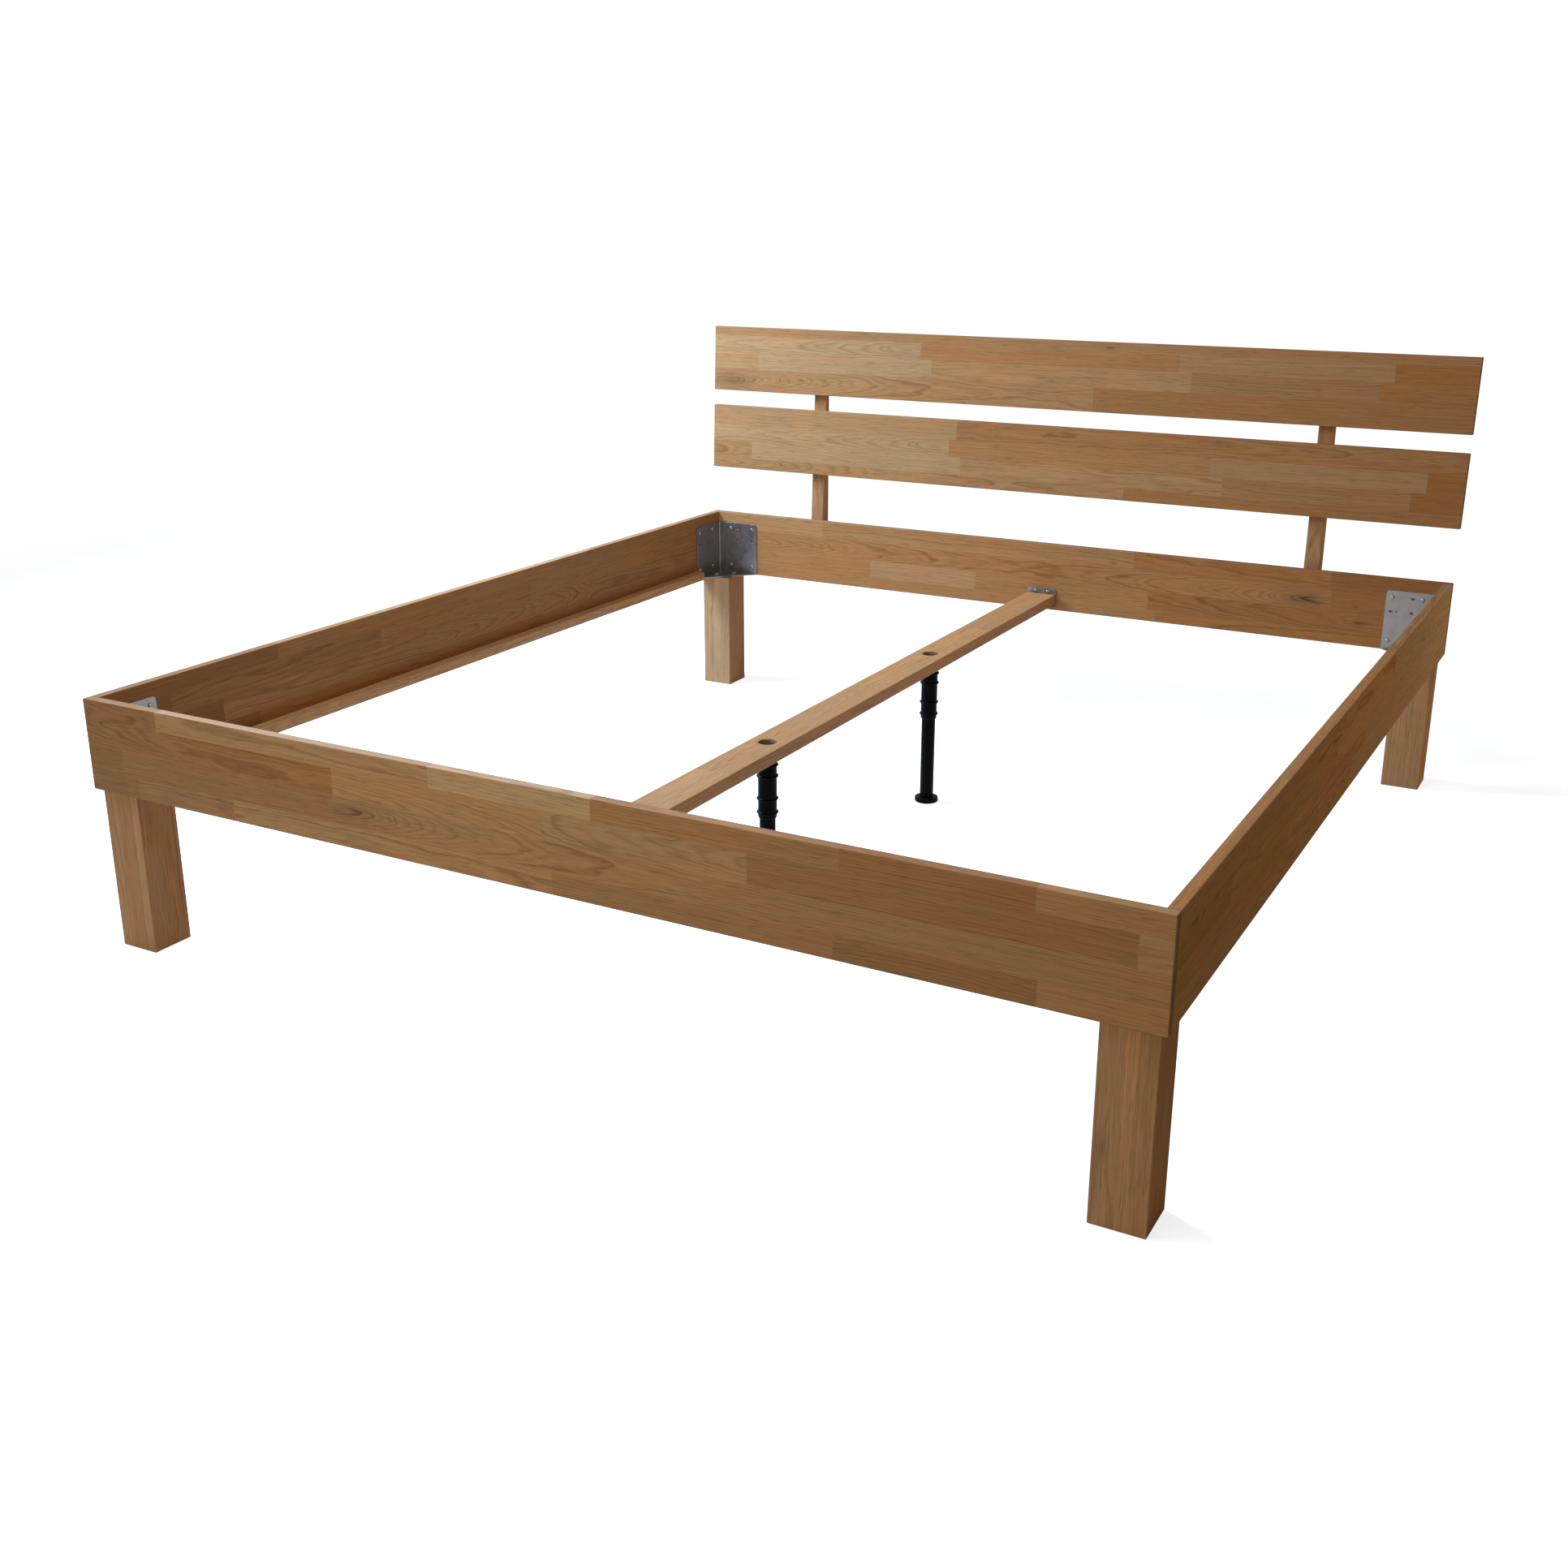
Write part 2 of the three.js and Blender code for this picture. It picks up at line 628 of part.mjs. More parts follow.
/** The sleeve: a ribbed tube with a collar under the beam at z = 0 and a spigot up into the beam's hole. */
function supportSleeve() {
  const bore = tubeRadius + seatGap;
  const spigot = beamHoleRadius - seatGap;
  const spigotTop = beamThickness - spigotSetback;
  const outside = [
    [bore, -sleeveLength], [sleeveLipRadius, -sleeveLength],
    [sleeveRadius, sleeveLipLength - sleeveLength],
    ...[...ribDrops].sort((a, b) => b - a).flatMap(ribPoints),
    [sleeveRadius, -sleeveCollarThickness], [ribRadius, -sleeveCollarThickness],
    [ribRadius, -seatGap], [spigot, -seatGap], [spigot, spigotTop],
  ];
  const inside = [
    [spigot - spigotWall, spigotTop], [spigot - spigotWall, -sleeveRoof], [bore, -sleeveRoof],
  ];
  return turned([...outside, ...inside, outside[0]], turnedSides);
}

const tubeTop = beamUnderside - sleeveLength + tubeEngagement;
const tubeBore = tubeRadius - tubeWall;
const tubeGeometry = turned([
  [tubeBore, padThickness], [tubeRadius, padThickness],
  [tubeRadius, tubeTop], [tubeBore, tubeTop], [tubeBore, padThickness],
], turnedSides);
const padGeometry = turned([
  [0, 0], [padRadius - padRound, 0], [padRadius, padRound],
  [padRadius, padThickness - padRound], [padRadius - padRound, padThickness],
  [tubeBore - seatGap, padThickness], [tubeBore - seatGap, padThickness + padPlugLength],
  [0, padThickness + padPlugLength],
], turnedSides);
const sleeveGeometry = supportSleeve();
for (const [name, side] of [['front', -1], ['rear', 1]]) {
  const y = side * supportSpacing / 2;
  addPiece(bed, `${name}_support_sleeve`, sleeveGeometry.clone(), blackPlastic, 0, y, beamUnderside);
  addPiece(bed, `${name}_support_tube`, tubeGeometry.clone(), blackPlastic, 0, y, 0);
  addPiece(bed, `${name}_support_pad`, padGeometry.clone(), blackPlastic, 0, y, 0);
}

// The origin is on the floor under the middle of the whole frame, posts included.
bed.position.y = -(postDepth + seatGap) / 2;

export default bed;
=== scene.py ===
"""Looks for the double bed frame: oiled oak staves, galvanised brackets and moulded support legs.

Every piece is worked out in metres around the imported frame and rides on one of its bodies.
Lengths in the classes are millimetres, as a joiner writes them, and ``MM`` turns them to metres.
"""

import logging
import math
from collections.abc import Sequence
from dataclasses import dataclass, replace
from enum import Enum

import bpy
import numpy as np
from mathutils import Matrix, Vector

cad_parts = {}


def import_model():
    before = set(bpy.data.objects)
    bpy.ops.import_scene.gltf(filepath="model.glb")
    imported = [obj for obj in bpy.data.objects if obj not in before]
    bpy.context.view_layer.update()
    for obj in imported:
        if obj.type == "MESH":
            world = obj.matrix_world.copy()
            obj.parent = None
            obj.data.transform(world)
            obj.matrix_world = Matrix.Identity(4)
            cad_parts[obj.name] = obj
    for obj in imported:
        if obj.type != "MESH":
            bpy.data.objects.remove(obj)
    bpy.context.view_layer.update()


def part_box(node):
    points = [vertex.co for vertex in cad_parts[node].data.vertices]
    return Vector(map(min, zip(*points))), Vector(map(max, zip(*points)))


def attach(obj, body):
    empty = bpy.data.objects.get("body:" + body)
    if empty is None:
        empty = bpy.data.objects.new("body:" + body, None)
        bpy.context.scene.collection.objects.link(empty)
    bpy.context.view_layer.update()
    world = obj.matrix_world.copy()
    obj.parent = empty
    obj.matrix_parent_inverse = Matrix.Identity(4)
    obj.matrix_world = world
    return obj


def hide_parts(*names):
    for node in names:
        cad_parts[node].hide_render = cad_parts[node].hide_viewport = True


MM = 0.001
LOG = logging.getLogger("bed")
X, Y, Z = np.eye(3)
MATHS, VECTORS = "ShaderNodeMath", "ShaderNodeVectorMath"


# ---------------------------------------------------------------- colours and nodes
def linear(hex_colour: str) -> tuple[float, float, float, float]:
    """Turns an sRGB hex colour into linear light.

    Args:
        hex_colour: Six hex digits after a hash sign.

    Returns:
        Linear red, green and blue with a full alpha.
    """
    parts = [int(hex_colour[i:i + 2], 16) / 255 for i in (1, 3, 5)]
    light = [p / 12.92 if p <= 0.04045 else ((p + 0.055) / 1.055) ** 2.4 for p in parts]
    return (*light, 1.0)


def add_node(
    tree: bpy.types.NodeTree, kind: str, wires: dict[int | str, object] | None = None, **settings: object,
) -> bpy.types.Node:
    """Adds one node to a tree, with its settings, values and links.

    Args:
        tree: The tree that takes the node.
        kind: The node's type name.
        wires: Input name or index to a value, or to the socket or signal that feeds it.
        settings: The node's own properties.

    Returns:
        The new node.
    """
    made = tree.nodes.new(kind)
    for name, value in settings.items():
        setattr(made, name, value)
    for key, value in (wires or {}).items():
        socket = value.socket if isinstance(value, Signal) else value
        if isinstance(socket, bpy.types.NodeSocket):
            tree.links.new(socket, made.inputs[key])
        else:
            made.inputs[key].default_value = socket
    return made


@dataclass(frozen=True)
class Signal:
    """What a node gives out, so that a pattern is written as a formula."""

    tree: bpy.types.NodeTree
    socket: bpy.types.NodeSocket

    def through(self, kind: str, *values: object, **settings: object) -> "Signal":
        """Puts this signal, and more values after it, through one more node.

        Args:
            kind: The node's type name.
            values: What the node's next inputs take.
            settings: The node's own properties.

        Returns:
            What the node gives out first.
        """
        made = add_node(self.tree, kind, dict(enumerate((self, *values))), **settings)
        return Signal(self.tree, made.outputs[0])

    def __add__(self, other: "Signal | float") -> "Signal":
        """The sum."""
        return self.through(MATHS, other, operation="ADD")

    def __sub__(self, other: "Signal | float") -> "Signal":
        """The difference."""
        return self.through(MATHS, other, operation="SUBTRACT")

    def __mul__(self, other: "Signal | float") -> "Signal":
        """The product."""
        return self.through(MATHS, other, operation="MULTIPLY")

    def __truediv__(self, other: "Signal | float") -> "Signal":
        """The quotient."""
        return self.through(MATHS, other, operation="DIVIDE")


def new_material(name: str) -> bpy.types.Material:
    """Makes a material with an empty node tree.

    Args:
        name: The material's name.

    Returns:
        The material.
    """
    material = bpy.data.materials.new(name)
    material.use_nodes = True
    material.node_tree.nodes.clear()
    return material


# ---------------------------------------------------------------- finishes
@dataclass(frozen=True)
class Fleck:
    """Noise on a stave's own coordinates: its count to the metre along, across and deep, and its detail."""

    per_metre: tuple[float, float, float]
    detail: float
    rough: float = 0.5


FLECKS = {
    # Swells 250 mm long and 35 mm across move the rings, as a tree's own growth does.
    "wander": Fleck((4.0, 28.0, 28.0), 2.0),
    # Ripples 60 mm long and 12 mm across keep the rings from running smooth.
    "ripple": Fleck((16.0, 85.0, 85.0), 2.0),
    # Streaks 180 mm long and 6 mm across, where the wood turns from straw to russet.
    "streak": Fleck((5.5, 170.0, 170.0), 3.0, 0.65),
    # Fibres near 3 mm across, coarser than real ones so that they show.
    "fibre": Fleck((10.0, 330.0, 330.0), 4.0, 0.7),
    # Slow change of colour over a hand's width.
    "blotch": Fleck((3.0, 16.0, 16.0), 2.0),
    # Open pores: dashes some 30 mm long and 2 mm across, twice the real size so that they show.
    "pore": Fleck((32.0, 480.0, 480.0), 1.0),
}


@dataclass(frozen=True)
class OiledOak:
    """Oak, planed, sanded and oiled: soft growth rings, fine pores and a low, broad sheen."""

    name: str
    pale: str
    warm: str
    late: str
    knot: str = "#5F4128"
    ring_mm: float = 3.3
    ring_depth: float = 0.62
    wander_mm: float = 5.5
    core_mm: float = 6.0
    hue_swing: float = 1.8
    roughness: float = 0.5
    sheen: float = 0.05

    def material(self) -> bpy.types.Material:
        """Builds the material from the attributes grain, pith, figure, knot and tone.

        Returns:
            The material.
        """
        material = new_material(self.name)
        tree = material.node_tree
        read = {}
        for name in ("grain", "pith", "figure", "knot", "tone"):
            given = add_node(tree, "ShaderNodeAttribute", attribute_name=name)
            read[name] = Signal(tree, given.outputs["Vector"])
        read["stave"] = read["grain"].through(VECTORS, read["pith"], operation="SUBTRACT")
        split = {}
        for name in ("stave", "grain", "figure", "knot"):
            numbers = add_node(tree, "ShaderNodeSeparateXYZ", {0: read[name]}).outputs
            split[name] = [Signal(tree, number) for number in numbers]
        fleck = {}
        for name, look in FLECKS.items():
            stretched = read["stave"].through(VECTORS, look.per_metre, operation="MULTIPLY")
            wires = {"Vector": stretched, "Scale": 1.0, "Detail": look.detail, "Roughness": look.rough}
            fleck[name] = Signal(tree, add_node(tree, "ShaderNodeTexNoise", wires).outputs["Fac"])
        # Only the peaks of its noise are pores.
        fleck["pore"] = (fleck["pore"] - 0.57).through(MATHS, 9.0, operation="MULTIPLY", use_clamp=True)

        # A knot is an ellipse 2.4 times as long as it is wide, and its size is half its width.
        knot_along, knot_across, knot_size = split["knot"]
        along, across, _ = split["grain"]
        knot_far = (((along - knot_along) / (knot_size * 2.4)).through(MATHS, 2.0, operation="POWER")
                    + ((across - knot_across) / knot_size).through(MATHS, 2.0, operation="POWER"))
        swelling = (knot_far * -0.35).through(MATHS, operation="EXPONENT") * knot_size * -0.4
        line = self._late_wood(split["stave"], split["figure"], swelling, fleck)
        colour = self._colour(line, knot_far, read["tone"], fleck)
        relief = fleck["fibre"] - line * 0.6 - fleck["pore"] * 0.8
        bump = add_node(tree, "ShaderNodeBump", {"Height": relief, "Strength": 0.3, "Distance": 0.25 * MM})
        # Raised fibres hide the oil from a grazing look, so the sheen goes where the face turns away.
        away = Signal(tree, add_node(tree, "ShaderNodeLayerWeight", {"Blend": 0.5}).outputs["Facing"])
        facing = (away * -1.0 + 0.76).through(MATHS, 10.0, operation="MULTIPLY", use_clamp=True)
        shader = add_node(tree, "ShaderNodeBsdfPrincipled", {
            "Base Color": colour, "Roughness": fleck["fibre"] * 0.16 + (self.roughness - 0.08),
            "Normal": bump.outputs[0], "Specular IOR Level": self.sheen,
        })
        # The socket's own value is the plain level, and the fade's link stands over it.
        # The socket keeps its own value for tools that leave the fade out.
        tree.links.new((facing * self.sheen).socket, shader.inputs["Specular IOR Level"])
        add_node(tree, "ShaderNodeOutputMaterial", {"Surface": shader.outputs[0]})
        return material

    def _late_wood(
        self, stave: list[Signal], figure: list[Signal], swelling: Signal, fleck: dict[str, Signal],
    ) -> Signal:
        """Growth rings round the stave's pith, seen where the surface cuts them.

        The distance to the pith is the length of (height, depth), both of which bend along the stave, plus a
        slow wander and the swelling round a knot. The ring's number is that distance divided by the ring's
        width, plus a noise that makes wide and narrow years. Each ring's last part is a line of late wood.

        Args:
            stave: Along, across and deep, from the pith.
            figure: Slope, bow and arch of the pith.
            swelling: How far a knot pushes the rings.
            fleck: The noises.

        Returns:
            One on the darkest late wood and nought on early wood.
        """
        along, across, deep = stave
        slope, bow, arch = figure
        tree = along.tree
        depth = (bow * along + slope) * along + deep
        height = arch * along * along + across
        square = depth * depth + height * height + (self.core_mm * MM) ** 2
        wander = self.wander_mm * MM
        distance = (square.through(MATHS, operation="SQRT") + swelling
                    + (fleck["wander"] - 0.5) * (2 * wander) + (fleck["ripple"] - 0.5) * (0.6 * wander))
        # Years differ: noise over some 12 mm of growth widens some rings and narrows others.
        wires = {"W": distance * 80.0, "Scale": 1.0, "Detail": 1.0}
        years = add_node(tree, "ShaderNodeTexNoise", wires, noise_dimensions="1D").outputs["Fac"]
        ring = distance / (self.ring_mm * MM) + Signal(tree, years) * 2.4
        wires = {"W": ring.through(MATHS, operation="FLOOR")}
        lot = add_node(tree, "ShaderNodeTexWhiteNoise", wires, noise_dimensions="1D").outputs["Value"]
        vigour = Signal(tree, lot)
        # A year begins at the last one's line, turns pale, and darkens to its own line near its end.
        ramp = add_node(tree, "ShaderNodeValToRGB", {"Fac": ring.through(MATHS, operation="FRACT")})
        stops = ramp.color_ramp.elements
        stops[0].color = stops[1].color = (0.3, 0.3, 0.3, 1)
        for position, level in ((0.15, 0.0), (0.5, 0.12), (0.86, 1.0)):
            stops.new(position).color = (level, level, level, 1)
        line = Signal(tree, ramp.outputs[0]) * (vigour * vigour * 0.65 + 0.35)
        return line.through(MATHS, fleck["fibre"] * 0.8 + 0.5, operation="MULTIPLY", use_clamp=True)

    def _colour(
        self, line: Signal, knot_far: Signal, tone: Signal, fleck: dict[str, Signal],
    ) -> bpy.types.NodeSocket:
        """The wood's colour: straw to russet, darker late wood, the stave's tone, and a knot's dark heart.

        Args:
            line: The late wood.
            knot_far: The squared distance to the knot, in knots.
            tone: What the stave's tone multiplies each colour by.
            fleck: The noises.

        Returns:
            The colour's socket.
        """
        tree = line.tree
        swing = (fleck["streak"] - 0.5) * self.hue_swing + 0.5
        hue = swing.through(MATHS, (fleck["blotch"] - 0.5) * 1.4, operation="ADD", use_clamp=True)
        wires = {0: hue, 6: linear(self.pale), 7: linear(self.warm)}
        early = add_node(tree, "ShaderNodeMix", wires, data_type="RGBA").outputs[2]
        wires = {0: line * self.ring_depth, 6: early, 7: linear(self.late)}
        wood = add_node(tree, "ShaderNodeMix", wires, data_type="RGBA").outputs[2]
        toned = Signal(tree, wood).through(VECTORS, tone, operation="MULTIPLY")
        # The shade is near one where every noise is at its middle.
        shade = (fleck["fibre"] * 0.75 + fleck["blotch"] * 0.50 + fleck["streak"] * 0.45
                 + fleck["pore"] * -0.20 + 0.19)
        shaded = add_node(tree, VECTORS, {0: toned, "Scale": shade}, operation="SCALE").outputs[0]
        ragged = knot_far + (fleck["ripple"] + fleck["streak"] - 1.0) * 2.5
        core = (ragged * -1.2).through(MATHS, operation="EXPONENT")
        dark = line * 0.5 + fleck["fibre"] * 0.7 - 0.05
        heart = core.through(MATHS, dark, operation="MULTIPLY", use_clamp=True)
        wires = {0: heart, 6: shaded, 7: linear(self.knot)}
        return add_node(tree, "ShaderNodeMix", wires, data_type="RGBA").outputs[2]


@dataclass(frozen=True)
class SatinSteel:
    """Steel with a zinc coat: dipped sheet is dull and cloudy, plated fasteners are smoother and brighter."""

    name: str
    dark: str
    light: str
    roughness: float
    cloud_mm: float = 14.0
    grit: float = 0.25
    # Grit of 0.8 mm, coarser than the real 0.1 mm so that it shows.
    grit_mm: float = 0.8

    def material(self) -> bpy.types.Material:
        """Builds the material: zinc crystals as soft clouds, and a fine grit that blurs the reflection.

        Returns:
            The material, which reads Object coordinates.
        """
        material = new_material(self.name)
        tree = material.node_tree
        place = add_node(tree, "ShaderNodeTexCoord").outputs["Object"]
        wires = {"Vector": place, "Scale": 1 / (self.cloud_mm * MM), "Detail": 3.0}
        cloud = Signal(tree, add_node(tree, "ShaderNodeTexNoise", wires).outputs["Fac"])
        wires = {"Vector": place, "Scale": 1 / (self.grit_mm * MM), "Detail": 1.0}
        grit = add_node(tree, "ShaderNodeTexNoise", wires).outputs["Fac"]
        wires = {0: cloud, 6: linear(self.dark), 7: linear(self.light)}
        colour = add_node(tree, "ShaderNodeMix", wires, data_type="RGBA").outputs[2]
        wires = {"Height": grit, "Strength": self.grit, "Distance": 0.05 * MM}
        bump = add_node(tree, "ShaderNodeBump", wires)
        shader = add_node(tree, "ShaderNodeBsdfPrincipled", {
            "Base Color": colour, "Metallic": 1.0, "Normal": bump.outputs[0],
            "Roughness": cloud * 0.18 + (self.roughness - 0.09),
        })
        add_node(tree, "ShaderNodeOutputMaterial", {"Surface": shader.outputs[0]})
        return material


@dataclass(frozen=True)
class MouldedPolyamide:
    """Black polyamide from a spark-eroded mould: a fine even grain and a soft, dim gloss."""

    name: str
    colour: str
    worn: str
    roughness: float = 0.42
    gloss: float = 0.03
    # Mould grain of 0.6 mm, coarser than the real 0.1 mm so that it shows.
    grain_mm: float = 0.6
    bloom_mm: float = 30.0

    def material(self) -> bpy.types.Material:
        """Builds the material: mould grain as bump, and a faint grey bloom in broad patches.

        Returns:
            The material, which reads Object coordinates.
        """
        material = new_material(self.name)
        tree = material.node_tree
        place = add_node(tree, "ShaderNodeTexCoord").outputs["Object"]
        wires = {"Vector": place, "Scale": 1 / (self.grain_mm * MM), "Detail": 2.0}
        grain = add_node(tree, "ShaderNodeTexNoise", wires).outputs["Fac"]
        wires = {"Vector": place, "Scale": 1 / (self.bloom_mm * MM), "Detail": 2.0}
        bloom = Signal(tree, add_node(tree, "ShaderNodeTexNoise", wires).outputs["Fac"])
        wires = {0: bloom, 6: linear(self.colour), 7: linear(self.worn)}
        colour = add_node(tree, "ShaderNodeMix", wires, data_type="RGBA").outputs[2]
        bump = add_node(tree, "ShaderNodeBump", {"Height": grain, "Strength": 0.3, "Distance": 0.1 * MM})
        shader = add_node(tree, "ShaderNodeBsdfPrincipled", {
            "Base Color": colour, "Normal": bump.outputs[0], "Specular IOR Level": self.gloss,
            "Roughness": bloom * 0.16 + (self.roughness - 0.08),
        })
        add_node(tree, "ShaderNodeOutputMaterial", {"Surface": shader.outputs[0]})
        return material


# ---------------------------------------------------------------- meshes
def put_mesh(
    name: str,
    points: np.ndarray,
    faces: Sequence[np.ndarray],
    material: bpy.types.Material,
    of_points: dict[str, np.ndarray] | None = None,
    of_faces: dict[str, np.ndarray] | None = None,
    crease: float | None = None,
) -> bpy.types.Object:
    """Puts worked-out arrays into one mesh object at the origin.

    Args:
        name: The piece's name.
        points: Vertex places in metres, one row each.
        faces: Arrays of faces, each with one row of vertex numbers per face.
        material: The finish.
        of_points: Vector attributes with one row per vertex.
        of_faces: Vector attributes with one row per face, in the order of ``faces``.
        crease: Edges that turn more than this many degrees stay sharp; none does without it.

    Returns:
        The object, linked to the scene.
    """
    mesh = bpy.data.meshes.new(name)
    used = np.unique(np.concatenate([f.ravel() for f in faces]))
    # A face taken out for a rounded corner can leave a point that no other face uses.
    if len(used) < len(points):
        numbers = np.zeros(len(points), int)
        numbers[used] = np.arange(len(used))
        faces = [numbers[f] for f in faces]
        points = points[used]
    sizes = np.concatenate([np.full(len(f), f.shape[1]) for f in faces])
    corners = np.concatenate([f.ravel() for f in faces])
    mesh.vertices.add(len(points))
    mesh.vertices.foreach_set("co", np.asarray(points, np.float32).ravel())
    mesh.loops.add(len(corners))
    mesh.loops.foreach_set("vertex_index", corners.astype(np.int32))
    mesh.polygons.add(len(sizes))
    mesh.polygons.foreach_set("loop_start", np.concatenate([[0], np.cumsum(sizes)[:-1]]).astype(np.int32))
    mesh.update(calc_edges=True)
    for domain, given in (("POINT", of_points or {}), ("FACE", of_faces or {})):
        for key, rows in given.items():
            layer = mesh.attributes.new(key, "FLOAT_VECTOR", domain)
            layer.data.foreach_set("vector", np.asarray(rows, np.float32).ravel())
    mesh.materials.append(material)
    mesh.shade_smooth()
    if crease is not None:
        mesh.set_sharp_from_angle(angle=math.radians(crease))
    piece = bpy.data.objects.new(name, mesh)
    bpy.context.scene.collection.objects.link(piece)
    return piece


def hold_flats(piece: bpy.types.Object) -> None:
    """Weighs the shading by face size, so that flats stay flat and only the eased edges turn.

    Args:
        piece: The piece to shade.
    """
    shading = piece.modifiers.new("hold_flats", "WEIGHTED_NORMAL")
    shading.mode = "FACE_AREA_WITH_ANGLE"
    shading.weight = 80


@dataclass(frozen=True)
class Place:
    """Where a piece lies: a start point in metres and three directions, along, up and out."""

    start: np.ndarray
    along: np.ndarray
    up: np.ndarray

    @property
    def out(self) -> np.ndarray:
        """The direction that the piece's front faces."""
        return np.cross(self.along, self.up)

    def locate(self, points: np.ndarray) -> np.ndarray:
        """Turns rows of (along, up, out) in millimetres into places in metres."""
        return self.start + MM * (points @ np.stack([self.along, self.up, self.out]))


def grid_faces(rows: int, columns: int, wrap_rows: bool = False, wrap_columns: bool = False) -> np.ndarray:
    """Four-sided faces of a grid of vertices numbered row by row.

    Args:
        rows: Rows of vertices.
        columns: Vertices in a row.
        wrap_rows: Whether the last row joins the first.
        wrap_columns: Whether each row closes on itself.

    Returns:
        Faces as (row, column), (next row, column), (next row, next column), (row, next column).
    """
    i, j = np.meshgrid(np.arange(rows if wrap_rows else rows - 1),
                       np.arange(columns if wrap_columns else columns - 1), indexing="ij")
    i, j = i.ravel(), j.ravel()
    following, beside = (i + 1) % rows, (j + 1) % columns
    return np.stack([i * columns + j, following * columns + j,
                     following * columns + beside, i * columns + beside], axis=1)


def cell_between(rows: tuple[int, int], columns: tuple[int, int], count: int) -> np.ndarray:
    """The four corners of a grid's cell, in the order of ``grid_faces``.

    Args:
        rows: The cell's rows.
        columns: The cell's columns.
        count: Vertices in a row.

    Returns:
        The corners' numbers.
    """
    (row, next_row), (column, next_column) = rows, columns
    return np.array([row * count + column, next_row * count + column,
                     next_row * count + next_column, row * count + next_column])


def without_cell(quads: np.ndarray, cell: np.ndarray) -> np.ndarray:
    """A grid's faces less the one with a cell's four corners."""
    return quads[~(np.sort(quads, axis=1) == np.sort(cell)).all(axis=1)]


def rim_turns(sides: int) -> np.ndarray:
    """Angles of a hole's rim, from the one that looks at the cell's first corner."""
    return math.radians(-135) + np.arange(sides) / sides * 2 * math.pi


def rim_faces(cell: np.ndarray, rim: np.ndarray) -> np.ndarray:
    """Four faces round a hole: each runs along one side of the cell and back along a quarter of the rim.

    Args:
        cell: The cell's corners.
        rim: The rim's vertices, from the one that looks at the first corner.

    Returns:
        The faces, one row each.
    """
    quarter = len(rim) // 4
    back = np.arange(quarter, -1, -1)
    return np.array([[cell[side], cell[(side + 1) % 4], *np.take(rim, back + side * quarter, mode="wrap")]
                     for side in range(4)])


# ---------------------------------------------------------------- staves
class Cut(Enum):
    """How a stave was sawn from the log, which sets the figure on its face."""

    QUARTER = "quarter"
    PLAIN = "plain"
    CATHEDRAL = "cathedral"


@dataclass(frozen=True)
class Figure:
    """A stave's place in its log, in millimetres: pith, how the pith drifts, and a knot.

    ``slope`` is drift in depth per length, ``bow`` and ``arch`` the bend in depth and height per metre.
    A knot is (along, up, half its width), and the usual one is far past the bar's end.
    """

    pith_along: float
    pith_up: float
    pith_behind: float
    slope: float = 0.0
    bow: float = 0.0
    arch: float = 0.0
    knot: tuple[float, float, float] = (-9000.0, 0.0, 8.0)


@dataclass(frozen=True)
class Stave:
    """One stave: where it ends along the row in millimetres, its tone, and how it was cut.

    ``light`` is one for clearly lighter, ``warm`` is one for clearly redder.
    """

    end: float
    light: float = 0.0
    warm: float = 0.0
    cut: Cut = Cut.QUARTER
    figure: Figure | None = None

    def tone(self) -> tuple[float, float, float]:
        """What the stave's tone multiplies red, green and blue by.

        A step lighter adds 17 % to all three. A step redder takes 14 % off blue and 6 % off green, and adds
        2 % to red.

        Returns:
            The three factors.
        """
        level = 1 + 0.17 * self.light
        return level * (1 + 0.02 * self.warm), level * (1 - 0.06 * self.warm), level * (1 - 0.14 * self.warm)

    def placed(self, begin: float, middle: float, chance: np.random.Generator) -> Figure:
        """The stave's figure, drawn by lot for its cut unless one is given.

        Quarter-sawn staves lie 75 to 125 mm above or below the pith, so their rings are nearly straight.
        Plain ones lie 32 to 68 mm in front of it and show wide curves. In cathedral ones it lies 3 to 13 mm
        behind the bar's middle and runs off at a slope, which cuts the rings to pointed arches.

        Args:
            begin: Where the stave begins along the row.
            middle: The height of the row's middle.
            chance: The seeded lot.

        Returns:
            The figure in the bar's own millimetres.
        """
        lot = chance.uniform(-1, 1, 6)
        far = begin + (self.end - begin) * (0.5 + 0.5 * lot[0]) + 1500 * lot[5]
        near = begin + (self.end - begin) * (0.5 + 0.45 * lot[0])
        drawn = {
            Cut.QUARTER: Figure(far, middle + math.copysign(75 + 50 * abs(lot[1]), lot[1]), 12 * lot[2],
                                slope=0.008 * lot[3], arch=0.006 * lot[4]),
            Cut.PLAIN: Figure(far, middle + 22 * lot[1], 50 + 18 * lot[2],
                              slope=0.012 * lot[3], bow=0.003 * lot[5], arch=0.010 * lot[4]),
            Cut.CATHEDRAL: Figure(near, middle + 9 * lot[1], 8 + 5 * lot[2],
                                  slope=math.copysign(0.07, lot[3]), bow=0.02 * lot[4], arch=0.01 * lot[4]),
        }
        return self.figure or drawn[self.cut]


@dataclass(frozen=True)
class Row:
    """One row of staves, glued edge to edge with the rows above and below, in millimetres."""

    height: float
    staves: tuple[Stave, ...]


@dataclass(frozen=True)
class Bore:
    """A round hole in a bar's front face, or right through where its depth is nought, in millimetres.

    The grid's cell round it reaches ``reach`` to each side of its middle.
    """

    along: float
    up: float
    radius: float
    depth: float = 0.0
    reach: float = 10.0
    sides: int = 32


@dataclass(frozen=True)
class Lattice:
    """A bar's grid of points: a loop round the section at each station along it."""

    stations: np.ndarray
    centres: np.ndarray
    loop: int
    points: np.ndarray


